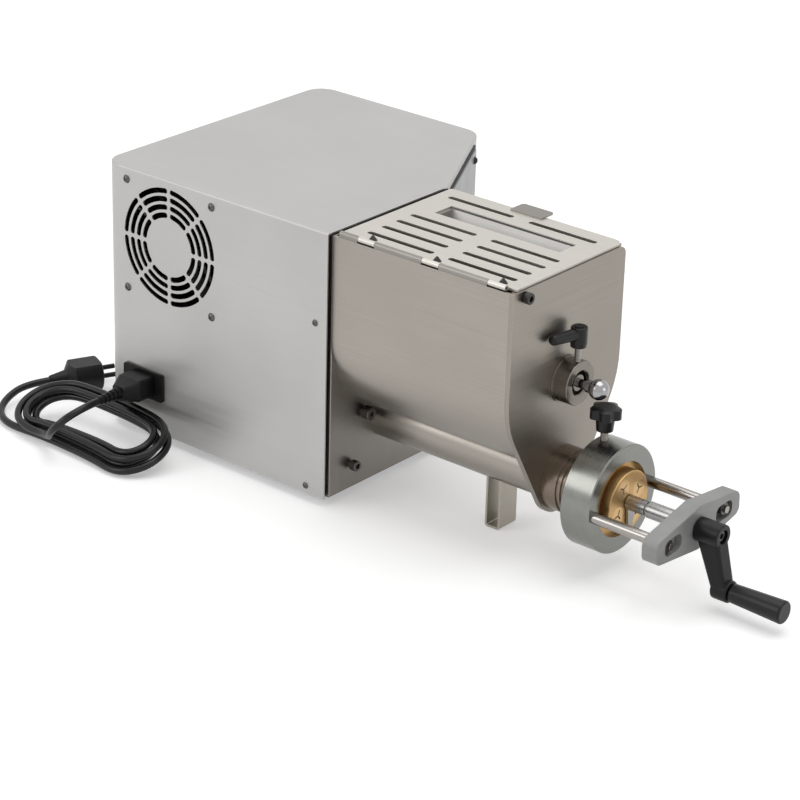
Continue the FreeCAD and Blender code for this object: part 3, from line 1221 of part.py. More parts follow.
def lid_plate():
    """Slotted lid with hinge knuckles rolled on its near edge."""
    points = [V(LID_BACK, LID_NEAR_Y + 1.8, LID_LEVEL), V(LID_FRONT, LID_NEAR_Y + 1.8, LID_LEVEL),
              V(LID_FRONT, LID_FAR_Y, LID_LEVEL), V(LID_BACK, LID_FAR_Y, LID_LEVEL)]
    plate = prism(points, [1.0, 3.0, 8.0, 3.0], Z_DIR * LID_THICKNESS)
    first_x = LID_BACK + 16.0
    second_x = LID_FRONT - 12.0 - LID_SLOT_LENGTH
    for row in range(LID_SLOT_ROWS):
        y = HINGE_Y + LID_SLOT_FIRST + row * LID_SLOT_PITCH
        for x in (first_x, second_x):
            plate = plate.cut(slot_cutter(x, y, LID_SLOT_LENGTH, LID_SLOT_WIDTH))
    for x in (first_x - 4, second_x - 3):
        plate = plate.cut(slot_cutter(x, HINGE_Y + LID_SLOT_FAR, LID_SLOT_LENGTH, LID_SLOT_WIDTH))
    x0, x1, y0, y1 = feed_span()
    plate = plate.cut(box(x0, x1, y0, y1, LID_LEVEL - 1, LID_LEVEL + LID_THICKNESS + 1))
    for x in HINGE_POSITIONS:
        a = x - HINGE_KNUCKLE / 2
        b = x + HINGE_KNUCKLE / 2
        knuckle = rod(LID_HINGE_RADIUS, V(a, HINGE_Y, HINGE_Z), V(b, HINGE_Y, HINGE_Z))
        web = box(a, b, HINGE_Y, LID_NEAR_Y + 3, LID_LEVEL, LID_LEVEL + LID_THICKNESS)
        plate = plate.fuse(web).fuse(knuckle)
        bore = LID_PIN_RADIUS + LID_PIN_FIT
        plate = plate.cut(rod(bore, V(a - 1, HINGE_Y, HINGE_Z), V(b + 1, HINGE_Y, HINGE_Z)))
    return plate


def hinge_rail():
    """Fixed half of the hinge: knuckles and a strip on the top edge of the hopper wall."""
    wall = HOPPER_CENTRE_Y - HOPPER_HALF_WIDTH
    spans = []
    start = LID_BACK + 2
    for x in HINGE_POSITIONS:
        spans.append((start, x - HINGE_KNUCKLE / 2 - HINGE_KNUCKLE_GAP))
        start = x + HINGE_KNUCKLE / 2 + HINGE_KNUCKLE_GAP
    shape = None
    for a, b in spans:
        knuckle = rod(LID_HINGE_RADIUS, V(a, HINGE_Y, HINGE_Z), V(b, HINGE_Y, HINGE_Z))
        web = box(a, b, wall + 0.3, HINGE_Y, HOPPER_TOP, HINGE_Z)
        piece = web.fuse(knuckle)
        piece = piece.cut(box(a - 1, b + 1, wall, wall + 20, HOPPER_TOP - 9, HOPPER_TOP))
        shape = piece if shape is None else shape.fuse(piece)
    return shape.cut(rod(LID_PIN_RADIUS, V(0, HINGE_Y, HINGE_Z), V(HOPPER_LENGTH, HINGE_Y, HINGE_Z)))


def hinge_pin():
    start = V(LID_BACK + 2, HINGE_Y, HINGE_Z)
    end = V(HINGE_POSITIONS[-1] + HINGE_KNUCKLE / 2, HINGE_Y, HINGE_Z)
    return rod(LID_PIN_RADIUS, start, end)


def lid_rivets():
    """Cone-headed rivets beside the hinge knuckles."""
    level = LID_LEVEL + LID_THICKNESS
    y = HINGE_Y + LID_HINGE_RADIUS + RIVET_RADIUS + 0.4
    return [Part.makeCone(RIVET_RADIUS, 0.8, RIVET_HEIGHT, V(x, y, level)) for x in HINGE_POSITIONS]


def feed_chute():
    """Sloping guide under the feed opening, open at the bottom."""
    x0, x1, y0, y1 = feed_span()
    t = CHUTE_WALL
    low = LID_LEVEL - CHUTE_DEPTH
    far = prism([V(x0, y1, LID_LEVEL), V(x0, y1 - 14, low), V(x0, y1 - 14 - t, low),
                 V(x0, y1 - t, LID_LEVEL)],
                [0] * 4, X_DIR * (x1 - x0))
    top = LID_LEVEL + LID_THICKNESS
    lip = box(x0, x1, y1 - t, y1, LID_LEVEL - 0.2, top - 0.3)
    ends = None
    for a in (x0, x1 - t):
        cheek = prism([V(a, y1, LID_LEVEL), V(a, y1 - 14, low), V(a, y0 + 3, low), V(a, y0, LID_LEVEL)],
                      [0] * 4, X_DIR * t)
        ends = cheek if ends is None else ends.fuse(cheek)
    return far.fuse(lip).fuse(ends)


def lid_tab():
    """Catch on the far edge that reaches over the sensor block."""
    x0 = LID_BACK + TAB_START
    level = LID_LEVEL + LID_THICKNESS
    reach = HOPPER_CENTRE_Y + HOPPER_HALF_WIDTH + MAGNET_SIZE
    tab = box(x0, x0 + TAB_LENGTH, LID_FAR_Y - TAB_DEPTH, reach, level, level + TAB_SHEET)
    corners = [e for e in tab.Edges if e.BoundBox.ZLength > 1 and e.BoundBox.YMin > reach - 1]
    return tab.makeFillet(3.0, corners)


def magnet_block():
    """Sensor block on the far wall of the hopper, under the catch."""
    x0 = LID_BACK + TAB_START + TAB_LENGTH / 2 - MAGNET_SIZE / 2
    wall = HOPPER_CENTRE_Y + HOPPER_HALF_WIDTH
    return box(x0, x0 + MAGNET_SIZE, wall, wall + MAGNET_SIZE, HOPPER_TOP - 24, HOPPER_TOP - 2)


# Hank of cord: loops drawn in a leaning plane, wound inwards on the upper layer and outwards below
def hank_frame():
    turn = math.radians(HANK_TURN)
    lean = math.radians(HANK_LEAN)
    along = V(math.cos(turn), math.sin(turn), 0)
    level = V(-math.sin(turn), math.cos(turn), 0)
    across = level * math.cos(lean) + Z_DIR * math.sin(lean)
    normal = level * -math.sin(lean) + Z_DIR * math.cos(lean)
    return along, across, normal


def hank_point(u, v, w):
    along, across, normal = hank_frame()
    return HANK_CENTRE + along * u + across * v + normal * w


def hank_offsets():
    """Distance of each run from the middle: shrinking on the upper layer, growing on the lower."""
    inward = [HANK_OUTER - k * HANK_PITCH / 2 for k in range(HANK_STEPS + 1)]
    return inward + inward[-2::-1]


def hank_path():
    """Edges of the winding. Even runs lie on the near side and go left, odd runs go right."""
    offsets = hank_offsets()
    half = HANK_RUN / 2
    upper = HANK_LAYER / 2
    edges = []
    for k, offset in enumerate(offsets):
        near = k % 2 == 0
        v = -offset if near else offset
        begin = half if near else -half
        if k == 0:
            begin = HANK_ENTRY
        finish = -half if near else half
        if k < HANK_STEPS:
            edges.append(line_edge(hank_point(begin, v, upper), hank_point(finish, v, upper)))
        elif k == HANK_STEPS:
            edges += climb(begin, finish, v, upper)
        else:
            edges.append(line_edge(hank_point(begin, v, -upper), hank_point(finish, v, -upper)))
        if k + 1 < len(offsets):
            level = upper if k < HANK_STEPS else -upper
            edges.append(half_turn(finish, v, -v / abs(v) * offsets[k + 1], level))
    return edges


def half_turn(u, v0, v1, w):
    radius = abs(v1 - v0) / 2
    side = -1 if u < 0 else 1
    middle = hank_point(u + side * radius, (v0 + v1) / 2, w)
    return arc_edge(hank_point(u, v0, w), middle, hank_point(u, v1, w))


def climb(begin, finish, v, upper):
    """Change of layer along a run: two equal arcs, level at both ends."""
    rise = -2 * upper
    run = finish - begin
    radius = (run * run / 4 + rise * rise / 4) / abs(rise)
    middle = (begin + finish) / 2
    sag = radius - math.sqrt(radius * radius - run * run / 16)
    sign = 1 if rise > 0 else -1
    p0 = hank_point(begin, v, upper)
    p1 = hank_point(begin + run / 4, v, upper + sign * sag)
    p2 = hank_point(middle, v, 0)
    p3 = hank_point(finish - run / 4, v, -upper - sign * sag)
    p4 = hank_point(finish, v, -upper)
    return [arc_edge(p0, p1, p2), arc_edge(p2, p3, p4)]


def tube(edges, radius):
    """Round tube along connected edges, square at both ends."""
    wire = Part.Wire(edges)
    first = edges[0]
    start = first.valueAt(first.FirstParameter)
    heading = first.tangentAt(first.FirstParameter)
    circle = Part.Wire([Part.makeCircle(radius, start, heading)])
    sweep = Part.BRepOffsetAPI.MakePipeShell(wire)
    sweep.add(circle)
    sweep.build()
    sweep.makeSolid()
    solid = sweep.shape()
    return solid, wire.Length


def route_edges(points, label):
    """Straight runs joined by tangent arcs, each as large as its two runs allow."""
    edges = []
    last = points[0]
    radii = []
    for i in range(1, len(points) - 1):
        before = points[i - 1] - points[i]
        after = points[i + 1] - points[i]
        turn = math.pi - before.getAngle(after)
        reach = 0.45 * min(before.Length, after.Length)
        radius = reach / math.tan(turn / 2)
        radii.append(round(radius, 1))
        a = points[i] + before.normalize() * reach
        b = points[i] + after.normalize() * reach
        inward = (before + after).normalize()
        centre_distance = radius / math.cos(turn / 2)
        mid = points[i] + inward * (centre_distance - radius)
        edges.append(line_edge(last, a))
        edges.append(arc_edge(a, mid, b))
        last = b
    edges.append(line_edge(last, points[-1]))
    print(label, "radii", radii)
    return edges


def cord_lead_points():
    """Route from the connector out and down on to the outer run of the hank's upper layer."""
    end = hank_point(HANK_ENTRY, -HANK_OUTER, HANK_LAYER / 2)
    along, across, normal = hank_frame()
    tip = connector_tip()
    return [tip, tip + V(0, -32, 0), tip + V(-18.5, -47.2, -22.2), end + along * 29.4, end]


def cord_tail_points():
    """Route from the hank's lower layer round its left end to the mains plug."""
    start = hank_point(-HANK_RUN / 2, -HANK_OUTER, -HANK_LAYER / 2)
    along, across, normal = hank_frame()
    level = V(0, 0, PLUG_HALF_THICKNESS + CORD_LIFT - start.z)
    return [start, start + along * -24, start + V(-48, 12, 1.2), start + V(-61, 34, 5.0),
            start + V(-62, 60, 0) + level, start + V(-52, 82, 0) + level]


def mains_plug():
    """Moulded plug with flattened sides and two round pins, lying on the table."""
    points = cord_tail_points()
    heading = (points[-1] - points[-2]).normalize()
    neck = Part.makeCone(CORD_RADIUS + 1.2, PLUG_NECK_RADIUS, PLUG_NECK_LENGTH)
    shoulder = Part.makeCone(PLUG_NECK_RADIUS, PLUG_RADIUS, PLUG_SHOULDER, V(0, 0, PLUG_NECK_LENGTH))
    start = PLUG_NECK_LENGTH + PLUG_SHOULDER
    body = Part.makeCylinder(PLUG_RADIUS, PLUG_LENGTH, V(0, 0, start))
    body = body.makeFillet(2.5, [e for e in body.Edges if e.BoundBox.ZMin > start + 1 and e.Closed])
    shape = neck.fuse(shoulder).fuse(body)
    wide = 2 * PLUG_RADIUS
    for side in (-1, 1):
        flat = Part.makeBox(2 * wide, wide, 2 * PLUG_LENGTH,
                            V(-wide, PLUG_HALF_THICKNESS if side > 0 else -PLUG_HALF_THICKNESS - wide,
                              PLUG_NECK_LENGTH))
        shape = shape.cut(flat)
        pin = Part.makeCylinder(PLUG_PIN_RADIUS, PLUG_PIN_LENGTH,
                                V(side * PLUG_PIN_SPACING / 2, 0, start + PLUG_LENGTH))
        shape = shape.fuse(pin)
    across = heading.cross(Z_DIR)
    shape.Placement = FreeCAD.Placement(points[-1], FreeCAD.Rotation(across, Z_DIR, heading, "ZXY"))
    return shape


def least_gap(edges, radius):
    """Least gap of the winding to itself, measured on points spaced along it."""
    samples = []
    travelled = 0.0
    for edge in edges:
        count = max(2, int(edge.Length / 4))
        for point in edge.discretize(count)[:-1]:
            samples.append((travelled, point))
            travelled += edge.Length / (count - 1)
    best = 1e9
    for i, (s0, p0) in enumerate(samples):
        for s1, p1 in samples[i + 1:]:
            if s1 - s0 > 60:
                best = min(best, (p1 - p0).Length)
    return best - 2 * radius


def make_cord():
    edges = hank_path()
    coil, coil_length = tube(edges, CORD_RADIUS)
    area = math.pi * CORD_RADIUS ** 2
    print("hank length", round(coil_length), "volume ratio", round(coil.Volume / (area * coil_length), 4))
    print("hank least gap", round(least_gap(edges, CORD_RADIUS), 2))
    save("cord_coil", coil)
    for name, points in (("cord_lead", cord_lead_points()), ("cord_tail", cord_tail_points())):
        solid, length = tube(route_edges(points, name), CORD_RADIUS)
        print(name, "length", round(length), "volume ratio", round(solid.Volume / (area * length), 4))
        save(name, solid)
    save("cord_connector", cord_connector())
    save("mains_plug", mains_plug())


def near_face(x, z):
    return V(x, 0, z)


def screws():
    fan = []
    for dx in (-1, 1):
        for dz in (-1, 1):
            centre = fan_centre(0) + V(dx, 0, dz) * (FAN_HOLE_SPACING / 2)
            fan.append(dome(centre, V(0, -1, 0)))
    save("fan_screws", *fan)
    low = FOOT_HEIGHT + COVER_SCREW_LOW
    places = (near_face(-COVER_SCREW_FRONT, FOOT_HEIGHT + COVER_SCREW_HIGH),
              near_face(-COVER_SCREW_LOW_FRONT, low), near_face(HOUSING_BACK + COVER_SCREW_BACK, low))
    cover = [dome(place, V(0, -1, 0), COVER_SCREW_RADIUS, COVER_SCREW_HEIGHT) for place in places]
    save("cover_screws", *cover)
    plate = []
    for side in (-1, 1):
        high = (PLATE_SCREW_HIGH_SIDE, PLATE_SCREW_HIGH, BIG_HEAD_RADIUS, BIG_HEAD_HEIGHT)
        low = (PLATE_SCREW_LOW_SIDE, PLATE_SCREW_LOW, CAP_HEAD_RADIUS, CAP_HEAD_HEIGHT)
        for out, z, radius, height in (high, low):
            centre = V(0, HOPPER_CENTRE_Y + side * out, FOOT_HEIGHT + z)
            plate.append(cap_screw(centre, X_DIR, radius, height, CAP_STAND))
    save("plate_screws", *plate)
    wall = HOPPER_CENTRE_Y - HOPPER_HALF_WIDTH
    centre = V(HOPPER_LENGTH, wall + END_SCREW_INSET, FOOT_HEIGHT + END_SCREW_HEIGHT)
    end = cap_screw(centre, X_DIR, CAP_HEAD_RADIUS, END_SCREW_HEAD_HEIGHT, END_SCREW_STAND)
    save("end_plate_screw", end)
    panel, corners = control_panel()
    middle = (corners[0] + corners[2]) * 0.5
    heads = []
    for corner in corners:
        inward = middle - corner
        place = corner + V(inward.x, inward.y, 0).normalize() * 9
        place = place - Z_DIR * math.copysign(9, corner.z - middle.z)
        heads.append(dome(place + CHAMFER_OUT * PANEL_THICKNESS, CHAMFER_OUT, 3.8, 3.0))
    save("panel_screws", *heads)
    save("control_panel", panel)


def rubber_feet():
    feet = []
    for x in (HOUSING_BACK + FOOT_INSET, -FOOT_INSET):
        for y in (FOOT_INSET, HOUSING_WIDTH - FOOT_INSET - (CHAMFER_LENGTH if x > -100 else 0)):
            feet.append(Part.makeCone(FOOT_RADIUS - 1.5, FOOT_RADIUS, FOOT_HEIGHT, V(x, y, 0)))
    return feet


def build():
    save("housing_cover", housing_cover())
    save("base_tray", base_tray())
    save("rubber_feet", *rubber_feet())
    save("mounting_plate", mounting_plate())
    save("panel_gasket", panel_gasket())
    start, stop, knob = panel_controls()
    save("start_button", button(start))
    save("stop_button", button(stop))
    save("button_bezels", bezel(start), bezel(stop))
    save("selector_knob", selector_knob(knob))
    save("switch_blocks", switch_block(start), switch_block(stop), switch_block(knob))
    save("fan_frame", fan_frame())
    save("fan_rotor", fan_rotor())
    save("motor", motor())
    save("gearbox", gearbox())
    save("motor_cradle", motor_cradle())
    save("power_inlet", power_inlet())
    save("hopper_trough", hopper_trough())
    save("auger_barrel", auger_barrel())
    save("end_plate", end_plate())
    save("barrel_neck", barrel_neck())
    save("foot_strap", foot_strap())
    save("auger", auger())
    save("mixer", mixer())
    save("shaft_boss", shaft_boss())
    save("clamp_stud", clamp_stud())
    save("clamp_lever", clamp_lever())
    save("lock_pin", lock_pin())
    save("pin_ball", pin_ball())
    save("clamp_ring", clamp_ring())
    save("star_stud", star_stud())
    save("star_knob", star_knob())
    save("die_body", die_body())
    save("die_inserts", *die_inserts())
    save("guide_rods", guide_rod(-1), guide_rod(1))
    save("yoke", yoke())
    save("rod_nuts", rod_nut(-1), rod_nut(1))
    save("yoke_bush", yoke_bush())
    save("cutter_shaft", cutter_shaft())
    save("cutter_blade", cutter_blade())
    save("crank_arm", crank_arm())
    save("crank_screw", crank_screw())
    save("crank_grip", crank_grip())
    save("lid_plate", lid_plate())
    save("hinge_rail", hinge_rail())
    save("hinge_pin", hinge_pin())
    save("lid_rivets", *lid_rivets())
    save("feed_chute", feed_chute())
    save("lid_tab", lid_tab())
    save("lid_sensor", magnet_block())
    screws()
    make_cord()


build()
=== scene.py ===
"""Electric pasta maker: camera, cord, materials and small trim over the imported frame."""
import bpy
import bmesh
import math
from mathutils import Matrix, Vector


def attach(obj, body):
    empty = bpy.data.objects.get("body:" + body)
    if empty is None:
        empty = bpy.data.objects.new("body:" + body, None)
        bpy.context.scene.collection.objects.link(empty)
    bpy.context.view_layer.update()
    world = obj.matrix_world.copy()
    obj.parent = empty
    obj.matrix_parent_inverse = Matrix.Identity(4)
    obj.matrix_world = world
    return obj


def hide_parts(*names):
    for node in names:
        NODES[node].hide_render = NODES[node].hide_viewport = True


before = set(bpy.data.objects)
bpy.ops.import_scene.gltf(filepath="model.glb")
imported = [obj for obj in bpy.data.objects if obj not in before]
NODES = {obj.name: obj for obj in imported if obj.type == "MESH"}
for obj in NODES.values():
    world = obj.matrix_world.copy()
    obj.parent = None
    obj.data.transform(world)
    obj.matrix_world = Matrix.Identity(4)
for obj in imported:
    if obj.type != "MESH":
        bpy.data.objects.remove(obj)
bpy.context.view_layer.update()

# Point of the machine, in its own millimetres, that lies at the origin of the row frame
MIDDLE = Vector((77.45, 148.25, 0.0))


def P(x, y, z):
    """Machine millimetres, as in the part's source, to metres in the row frame."""
    return (Vector((x, y, z)) - MIDDLE) / 1000.0


# Camera at the photograph's viewing angle, with its place in machine millimetres
CAMERA_PLACE = (1462.6, -1692.6, 1126.7)
CAMERA_RIGHT = (0.7677, 0.6403, 0.0265)
CAMERA_AHEAD = (-0.5751, 0.7066, -0.4122)
CAMERA_LENS = 126.55
CAMERA_SHIFT = (-0.0029, -0.0090)

camera_data = bpy.data.cameras.new("photo_camera")
camera_data.sensor_width = 36.0
camera_data.lens = CAMERA_LENS
camera_data.shift_x = CAMERA_SHIFT[0]
camera_data.shift_y = CAMERA_SHIFT[1]
camera_data.clip_end = 60.0
camera = bpy.data.objects.new("photo_camera", camera_data)
right = Vector(CAMERA_RIGHT).normalized()
ahead = Vector(CAMERA_AHEAD).normalized()
above = right.cross(ahead).normalized()
right = ahead.cross(above).normalized()
turn = Matrix((right, above, -ahead)).transposed().to_4x4()
camera.matrix_world = Matrix.Translation(P(*CAMERA_PLACE)) @ turn
bpy.context.scene.collection.objects.link(camera)
bpy.context.scene.camera = camera

# Mains cord: one smooth line from the connector through the hank to the plug. It repeats the route of the
# part's source in machine millimetres. The bow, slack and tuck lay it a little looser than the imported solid.
CORD_RADIUS = 0.0035
HANK_CENTRE = Vector((-250.0, -46.0, 18.9))
HANK_TURN = math.radians(-2.0)
HANK_LEAN = math.radians(18.0)
HANK_RUN = 106.0
HANK_OUTER = 36.0
HANK_ENTRY = -44.0
HANK_PITCH = 8.0
HANK_LAYER = 7.9
HANK_STEPS = 4
HANK_BOW = 14.0
HANK_SLACK = 6.0
HANK_TUCK = 7.0
RUN_SHARE = 0.62
ARC_ANGLES = (22.5, 67.5, 112.5, 157.5)
PLUG_REST = 13.9
CONNECTOR_TIP = Vector((-223.0, -59.0, 55.0))
LEAD_STEPS = ((0, -32, 0), (-18.5, -47.2, -22.2))
LEAD_JOIN = 29.4
TAIL_START = -24
TAIL_STEPS = ((-48, 12, 1.2), (-61, 34, 5.0))
PLUG_STEPS = ((-62, 60, 0), (-52, 82, 0))

along = Vector((math.cos(HANK_TURN), math.sin(HANK_TURN), 0.0))
level = Vector((-math.sin(HANK_TURN), math.cos(HANK_TURN), 0.0))
across = level * math.cos(HANK_LEAN) + Vector((0, 0, math.sin(HANK_LEAN)))
normal = level * -math.sin(HANK_LEAN) + Vector((0, 0, math.cos(HANK_LEAN)))


def hank(u, v, w):
    """Place in the hank, whose straight runs all bow the same way."""
    share = min(1.0, abs(u) / (HANK_RUN / 2))
    bow = HANK_BOW * (1 + math.cos(math.pi * share)) / 2
    return HANK_CENTRE + along * u + across * (v + bow) + normal * w


def hank_control():
    """Control points of the winding: two on each run and four round each end."""
    inward = [HANK_OUTER - k * HANK_PITCH / 2 for k in range(HANK_STEPS + 1)]
    offsets = inward + inward[-2::-1]
    half = HANK_RUN / 2
    top = HANK_LAYER / 2
    points = []
    for k, offset in enumerate(offsets):
        side = -1 if k % 2 == 0 else 1
        v = side * offset
        heading = side
        if k > 0:
            for share in (-0.5, 0.5):
                w = top if k < HANK_STEPS else -top
                if k == HANK_STEPS:
                    w = -share * top
                points.append(hank(heading * share * HANK_RUN * RUN_SHARE, v, w))
        if k + 1 < len(offsets):
            other = -side * offsets[k + 1]
            radius = abs(other - v) / 2 / math.cos(math.radians(ARC_ANGLES[0]))
            w = top if k < HANK_STEPS else -top
            loose = (offset - inward[-1]) / (HANK_OUTER - inward[-1])
            shift = HANK_SLACK * loose if heading > 0 else -HANK_TUCK
            for angle in ARC_ANGLES:
                a = math.radians(angle)
                points.append(hank(heading * (half + shift + radius * math.sin(a)),
                                   (v + other) / 2 + side * radius * math.cos(a), w))
    return points


entry = hank(HANK_ENTRY, -HANK_OUTER, HANK_LAYER / 2)
leave = hank(-HANK_RUN / 2, -HANK_OUTER, -HANK_LAYER / 2)
rise = Vector((0, 0, PLUG_REST - leave.z))
lead = [CONNECTOR_TIP] + [CONNECTOR_TIP + Vector(step) for step in LEAD_STEPS]
lead.append(entry + along * LEAD_JOIN)
tail = [leave + along * TAIL_START] + [leave + Vector(step) for step in TAIL_STEPS]
tail += [leave + Vector(step) + rise for step in PLUG_STEPS]
route = [P(*p) for p in lead + hank_control() + tail]

cord_data = bpy.data.curves.new("mains_cord", "CURVE")
cord_data.dimensions = "3D"
cord_data.bevel_depth = 1.0
cord_data.bevel_resolution = 5
cord_data.use_fill_caps = True
cord_data.resolution_u = 12
spline = cord_data.splines.new("NURBS")
spline.points.add(len(route) - 1)
for point, place in zip(spline.points, route):
    point.co = (place.x, place.y, place.z, 1.0)
    point.radius = CORD_RADIUS
spline.order_u = 3
spline.use_endpoint_u = True
mains_cord = bpy.data.objects.new("mains_cord", cord_data)
bpy.context.scene.collection.objects.link(mains_cord)
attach(mains_cord, "frame")
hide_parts("cord_lead", "cord_coil", "cord_tail")


# Materials
def linear(colour):
    """Display colour, 0 to 255, to the linear value that a shader takes."""
    out = []
    for c in colour:
        c = c / 255.0
        out.append(c / 12.92 if c <= 0.04045 else ((c + 0.055) / 1.055) ** 2.4)
    return tuple(out)


def scaled(colour, k):
    """Linear colour times a factor, with an alpha of 1."""
    return tuple(min(1.0, c * k) for c in colour) + (1.0,)


class Shader:
    """Small helper that wires up one node material."""

    def __init__(self, name):
        self.material = bpy.data.materials.new(name)
        self.material.use_nodes = True
        self.tree = self.material.node_tree
        self.tree.nodes.clear()
        self.out = self.new("ShaderNodeOutputMaterial")
        self.surface = self.new("ShaderNodeBsdfPrincipled")
        self.link(self.surface.outputs[0], self.out.inputs[0])
        self.coords = self.new("ShaderNodeTexCoord").outputs["Object"]

    def new(self, kind, **values):
        node = self.tree.nodes.new(kind)
        for key, value in values.items():
            setattr(node, key, value)
        return node

    def link(self, a, b):
        self.tree.links.new(a, b)

    def mapped(self, scale=(1, 1, 1), move=(0, 0, 0)):
        node = self.new("ShaderNodeMapping")
        node.inputs["Scale"].default_value = scale
        node.inputs["Location"].default_value = move
        self.link(self.coords, node.inputs["Vector"])
        return node.outputs[0]

    def noise(self, vector, scale=1.0, detail=3.0, rough=0.55):
        node = self.new("ShaderNodeTexNoise")
        node.inputs["Scale"].default_value = scale
        node.inputs["Detail"].default_value = detail
        node.inputs["Roughness"].default_value = rough
        self.link(vector, node.inputs["Vector"])
        return node.outputs["Fac"]

    def span(self, value, low, high, start=0.3, end=0.7):
        node = self.new("ShaderNodeMapRange")
        node.inputs["From Min"].default_value = start
        node.inputs["From Max"].default_value = end
        node.inputs["To Min"].default_value = low
        node.inputs["To Max"].default_value = high
        self.link(value, node.inputs["Value"])
        return node.outputs[0]

    def math(self, operation, a, b):
        node = self.new("ShaderNodeMath", operation=operation)
        for socket, value in zip(node.inputs, (a, b)):
            if isinstance(value, (int, float)):
                socket.default_value = value
            else:
                self.link(value, socket)
        return node.outputs[0]

    def mix(self, factor, a, b):
        node = self.new("ShaderNodeMix", data_type="RGBA", blend_type="MIX")
        for socket, value in ((node.inputs[0], factor), (node.inputs[6], a), (node.inputs[7], b)):
            if isinstance(value, (int, float, tuple)):
                socket.default_value = value
            else:
                self.link(value, socket)
        return node.outputs[2]

    def bump(self, height, strength, distance, radius=0.0004):
        bevel = self.new("ShaderNodeBevel", samples=4)
        bevel.inputs["Radius"].default_value = radius
        node = self.new("ShaderNodeBump")
        node.inputs["Strength"].default_value = strength
        node.inputs["Distance"].default_value = distance
        self.link(height, node.inputs["Height"])
        self.link(bevel.outputs[0], node.inputs["Normal"])
        self.link(node.outputs[0], self.surface.inputs["Normal"])

    def edge(self, radius, gain):
        """Mask that rises where the surface turns sharply, for wear on edges."""
        bevel = self.new("ShaderNodeBevel", samples=6)
        bevel.inputs["Radius"].default_value = radius
        geometry = self.new("ShaderNodeNewGeometry")
        dot = self.new("ShaderNodeVectorMath", operation="DOT_PRODUCT")
        self.link(bevel.outputs[0], dot.inputs[0])
        self.link(geometry.outputs["Normal"], dot.inputs[1])
        lift = self.math("SUBTRACT", 1.0, dot.outputs["Value"])
        node = self.new("ShaderNodeMath", operation="MULTIPLY", use_clamp=True)
        self.link(lift, node.inputs[0])
        node.inputs[1].default_value = gain
        return node.outputs[0]


def brushed(name, colour, rough=0.36, streak=(4, 700, 700), metallic=1.0, contrast=0.10, blotch=7.0):
    """Sheet metal with fine parallel brushing, faint smears and brighter edges."""
    s = Shader(name)
    base = linear(colour)
    lines = s.noise(s.mapped(streak), 1.0, 4.0, 0.65)
    smear = s.noise(s.mapped((1, 1, 1)), blotch, 3.0, 0.5)
    fine = s.span(lines, 0.0, 1.0)
    tone = s.mix(fine, scaled(base, 1 - contrast), scaled(base, 1 + contrast))
    tone = s.mix(s.span(smear, 0.0, 0.5), tone, scaled(base, 0.86))
    worn = s.mix(s.edge(0.0012, 1.6), tone, scaled(base, 1.35))
    s.link(worn, s.surface.inputs["Base Color"])
    s.surface.inputs["Metallic"].default_value = metallic
    gloss = s.math("ADD", s.span(lines, rough - 0.07, rough + 0.07), s.span(smear, -0.03, 0.05))
    s.link(gloss, s.surface.inputs["Roughness"])
    s.bump(lines, 0.12, 0.00006)
    return s.material


def turned(name, colour, centre, axis="X", rough=0.28, metallic=1.0, contrast=0.12, ring=2600.0):
    """Lathe-turned metal: fine rings about an axis, with light handling marks."""
    s = Shader(name)
    base = linear(colour)
    vector = s.mapped((1, 1, 1), tuple(-c for c in centre))
    parts = s.new("ShaderNodeSeparateXYZ")
    s.link(vector, parts.inputs[0])
    keep = [n for n in ("X", "Y", "Z") if n != axis]
    squares = [s.math("MULTIPLY", parts.outputs[n], parts.outputs[n]) for n in keep]
    radius = s.math("SQRT", s.math("ADD", squares[0], squares[1]), 0.0)
    joined = s.new("ShaderNodeCombineXYZ")
    s.link(s.math("MULTIPLY", radius, ring), joined.inputs[0])
    s.link(s.math("MULTIPLY", parts.outputs[axis], ring), joined.inputs[1])
    rings = s.noise(joined.outputs[0], 1.0, 3.0, 0.6)
    marks = s.noise(s.mapped((1, 1, 1)), 160.0, 4.0, 0.6)
    tone = s.mix(s.span(rings, 0.0, 1.0), scaled(base, 1 - contrast), scaled(base, 1 + contrast))
    tone = s.mix(s.span(marks, 0.0, 0.35), tone, scaled(base, 0.8))
    worn = s.mix(s.edge(0.0010, 1.6), tone, scaled(base, 1.4))
    s.link(worn, s.surface.inputs["Base Color"])
    s.surface.inputs["Metallic"].default_value = metallic
    s.link(s.span(rings, rough - 0.08, rough + 0.1), s.surface.inputs["Roughness"])
    s.bump(rings, 0.16, 0.00006)
    return s.material


def moulded(name, colour, rough=0.45, grain=1500.0, depth=0.00005, coat=0.0, edge=1.8, metallic=0.0,
            shine=0.5):
    """Moulded or painted surface: fine grain, uneven sheen, pale dust specks and paler edges."""
    s = Shader(name)
    base = linear(colour)
    fine = s.noise(s.mapped(), grain, 2.0, 0.6)
    broad = s.noise(s.mapped(), 26.0, 4.0, 0.6)
    tone = s.mix(s.span(broad, 0.0, 1.0), scaled(base, 0.84), scaled(base, 1.18))
    tone = s.mix(s.span(fine, 0.0, 0.25), tone, scaled(base, 1.5))
    worn = s.mix(s.edge(0.0009, 0.9), tone, scaled(base, edge))
    s.link(worn, s.surface.inputs["Base Color"])
    s.surface.inputs["Metallic"].default_value = metallic
    s.surface.inputs["Coat Weight"].default_value = coat
    s.surface.inputs["Specular IOR Level"].default_value = shine
    s.link(s.span(broad, rough - 0.06, rough + 0.1), s.surface.inputs["Roughness"])
    s.bump(fine, 0.22, depth)
    return s.material


# Metres after which a wave texture of scale 1 repeats
WAVE_LENGTH = 0.314


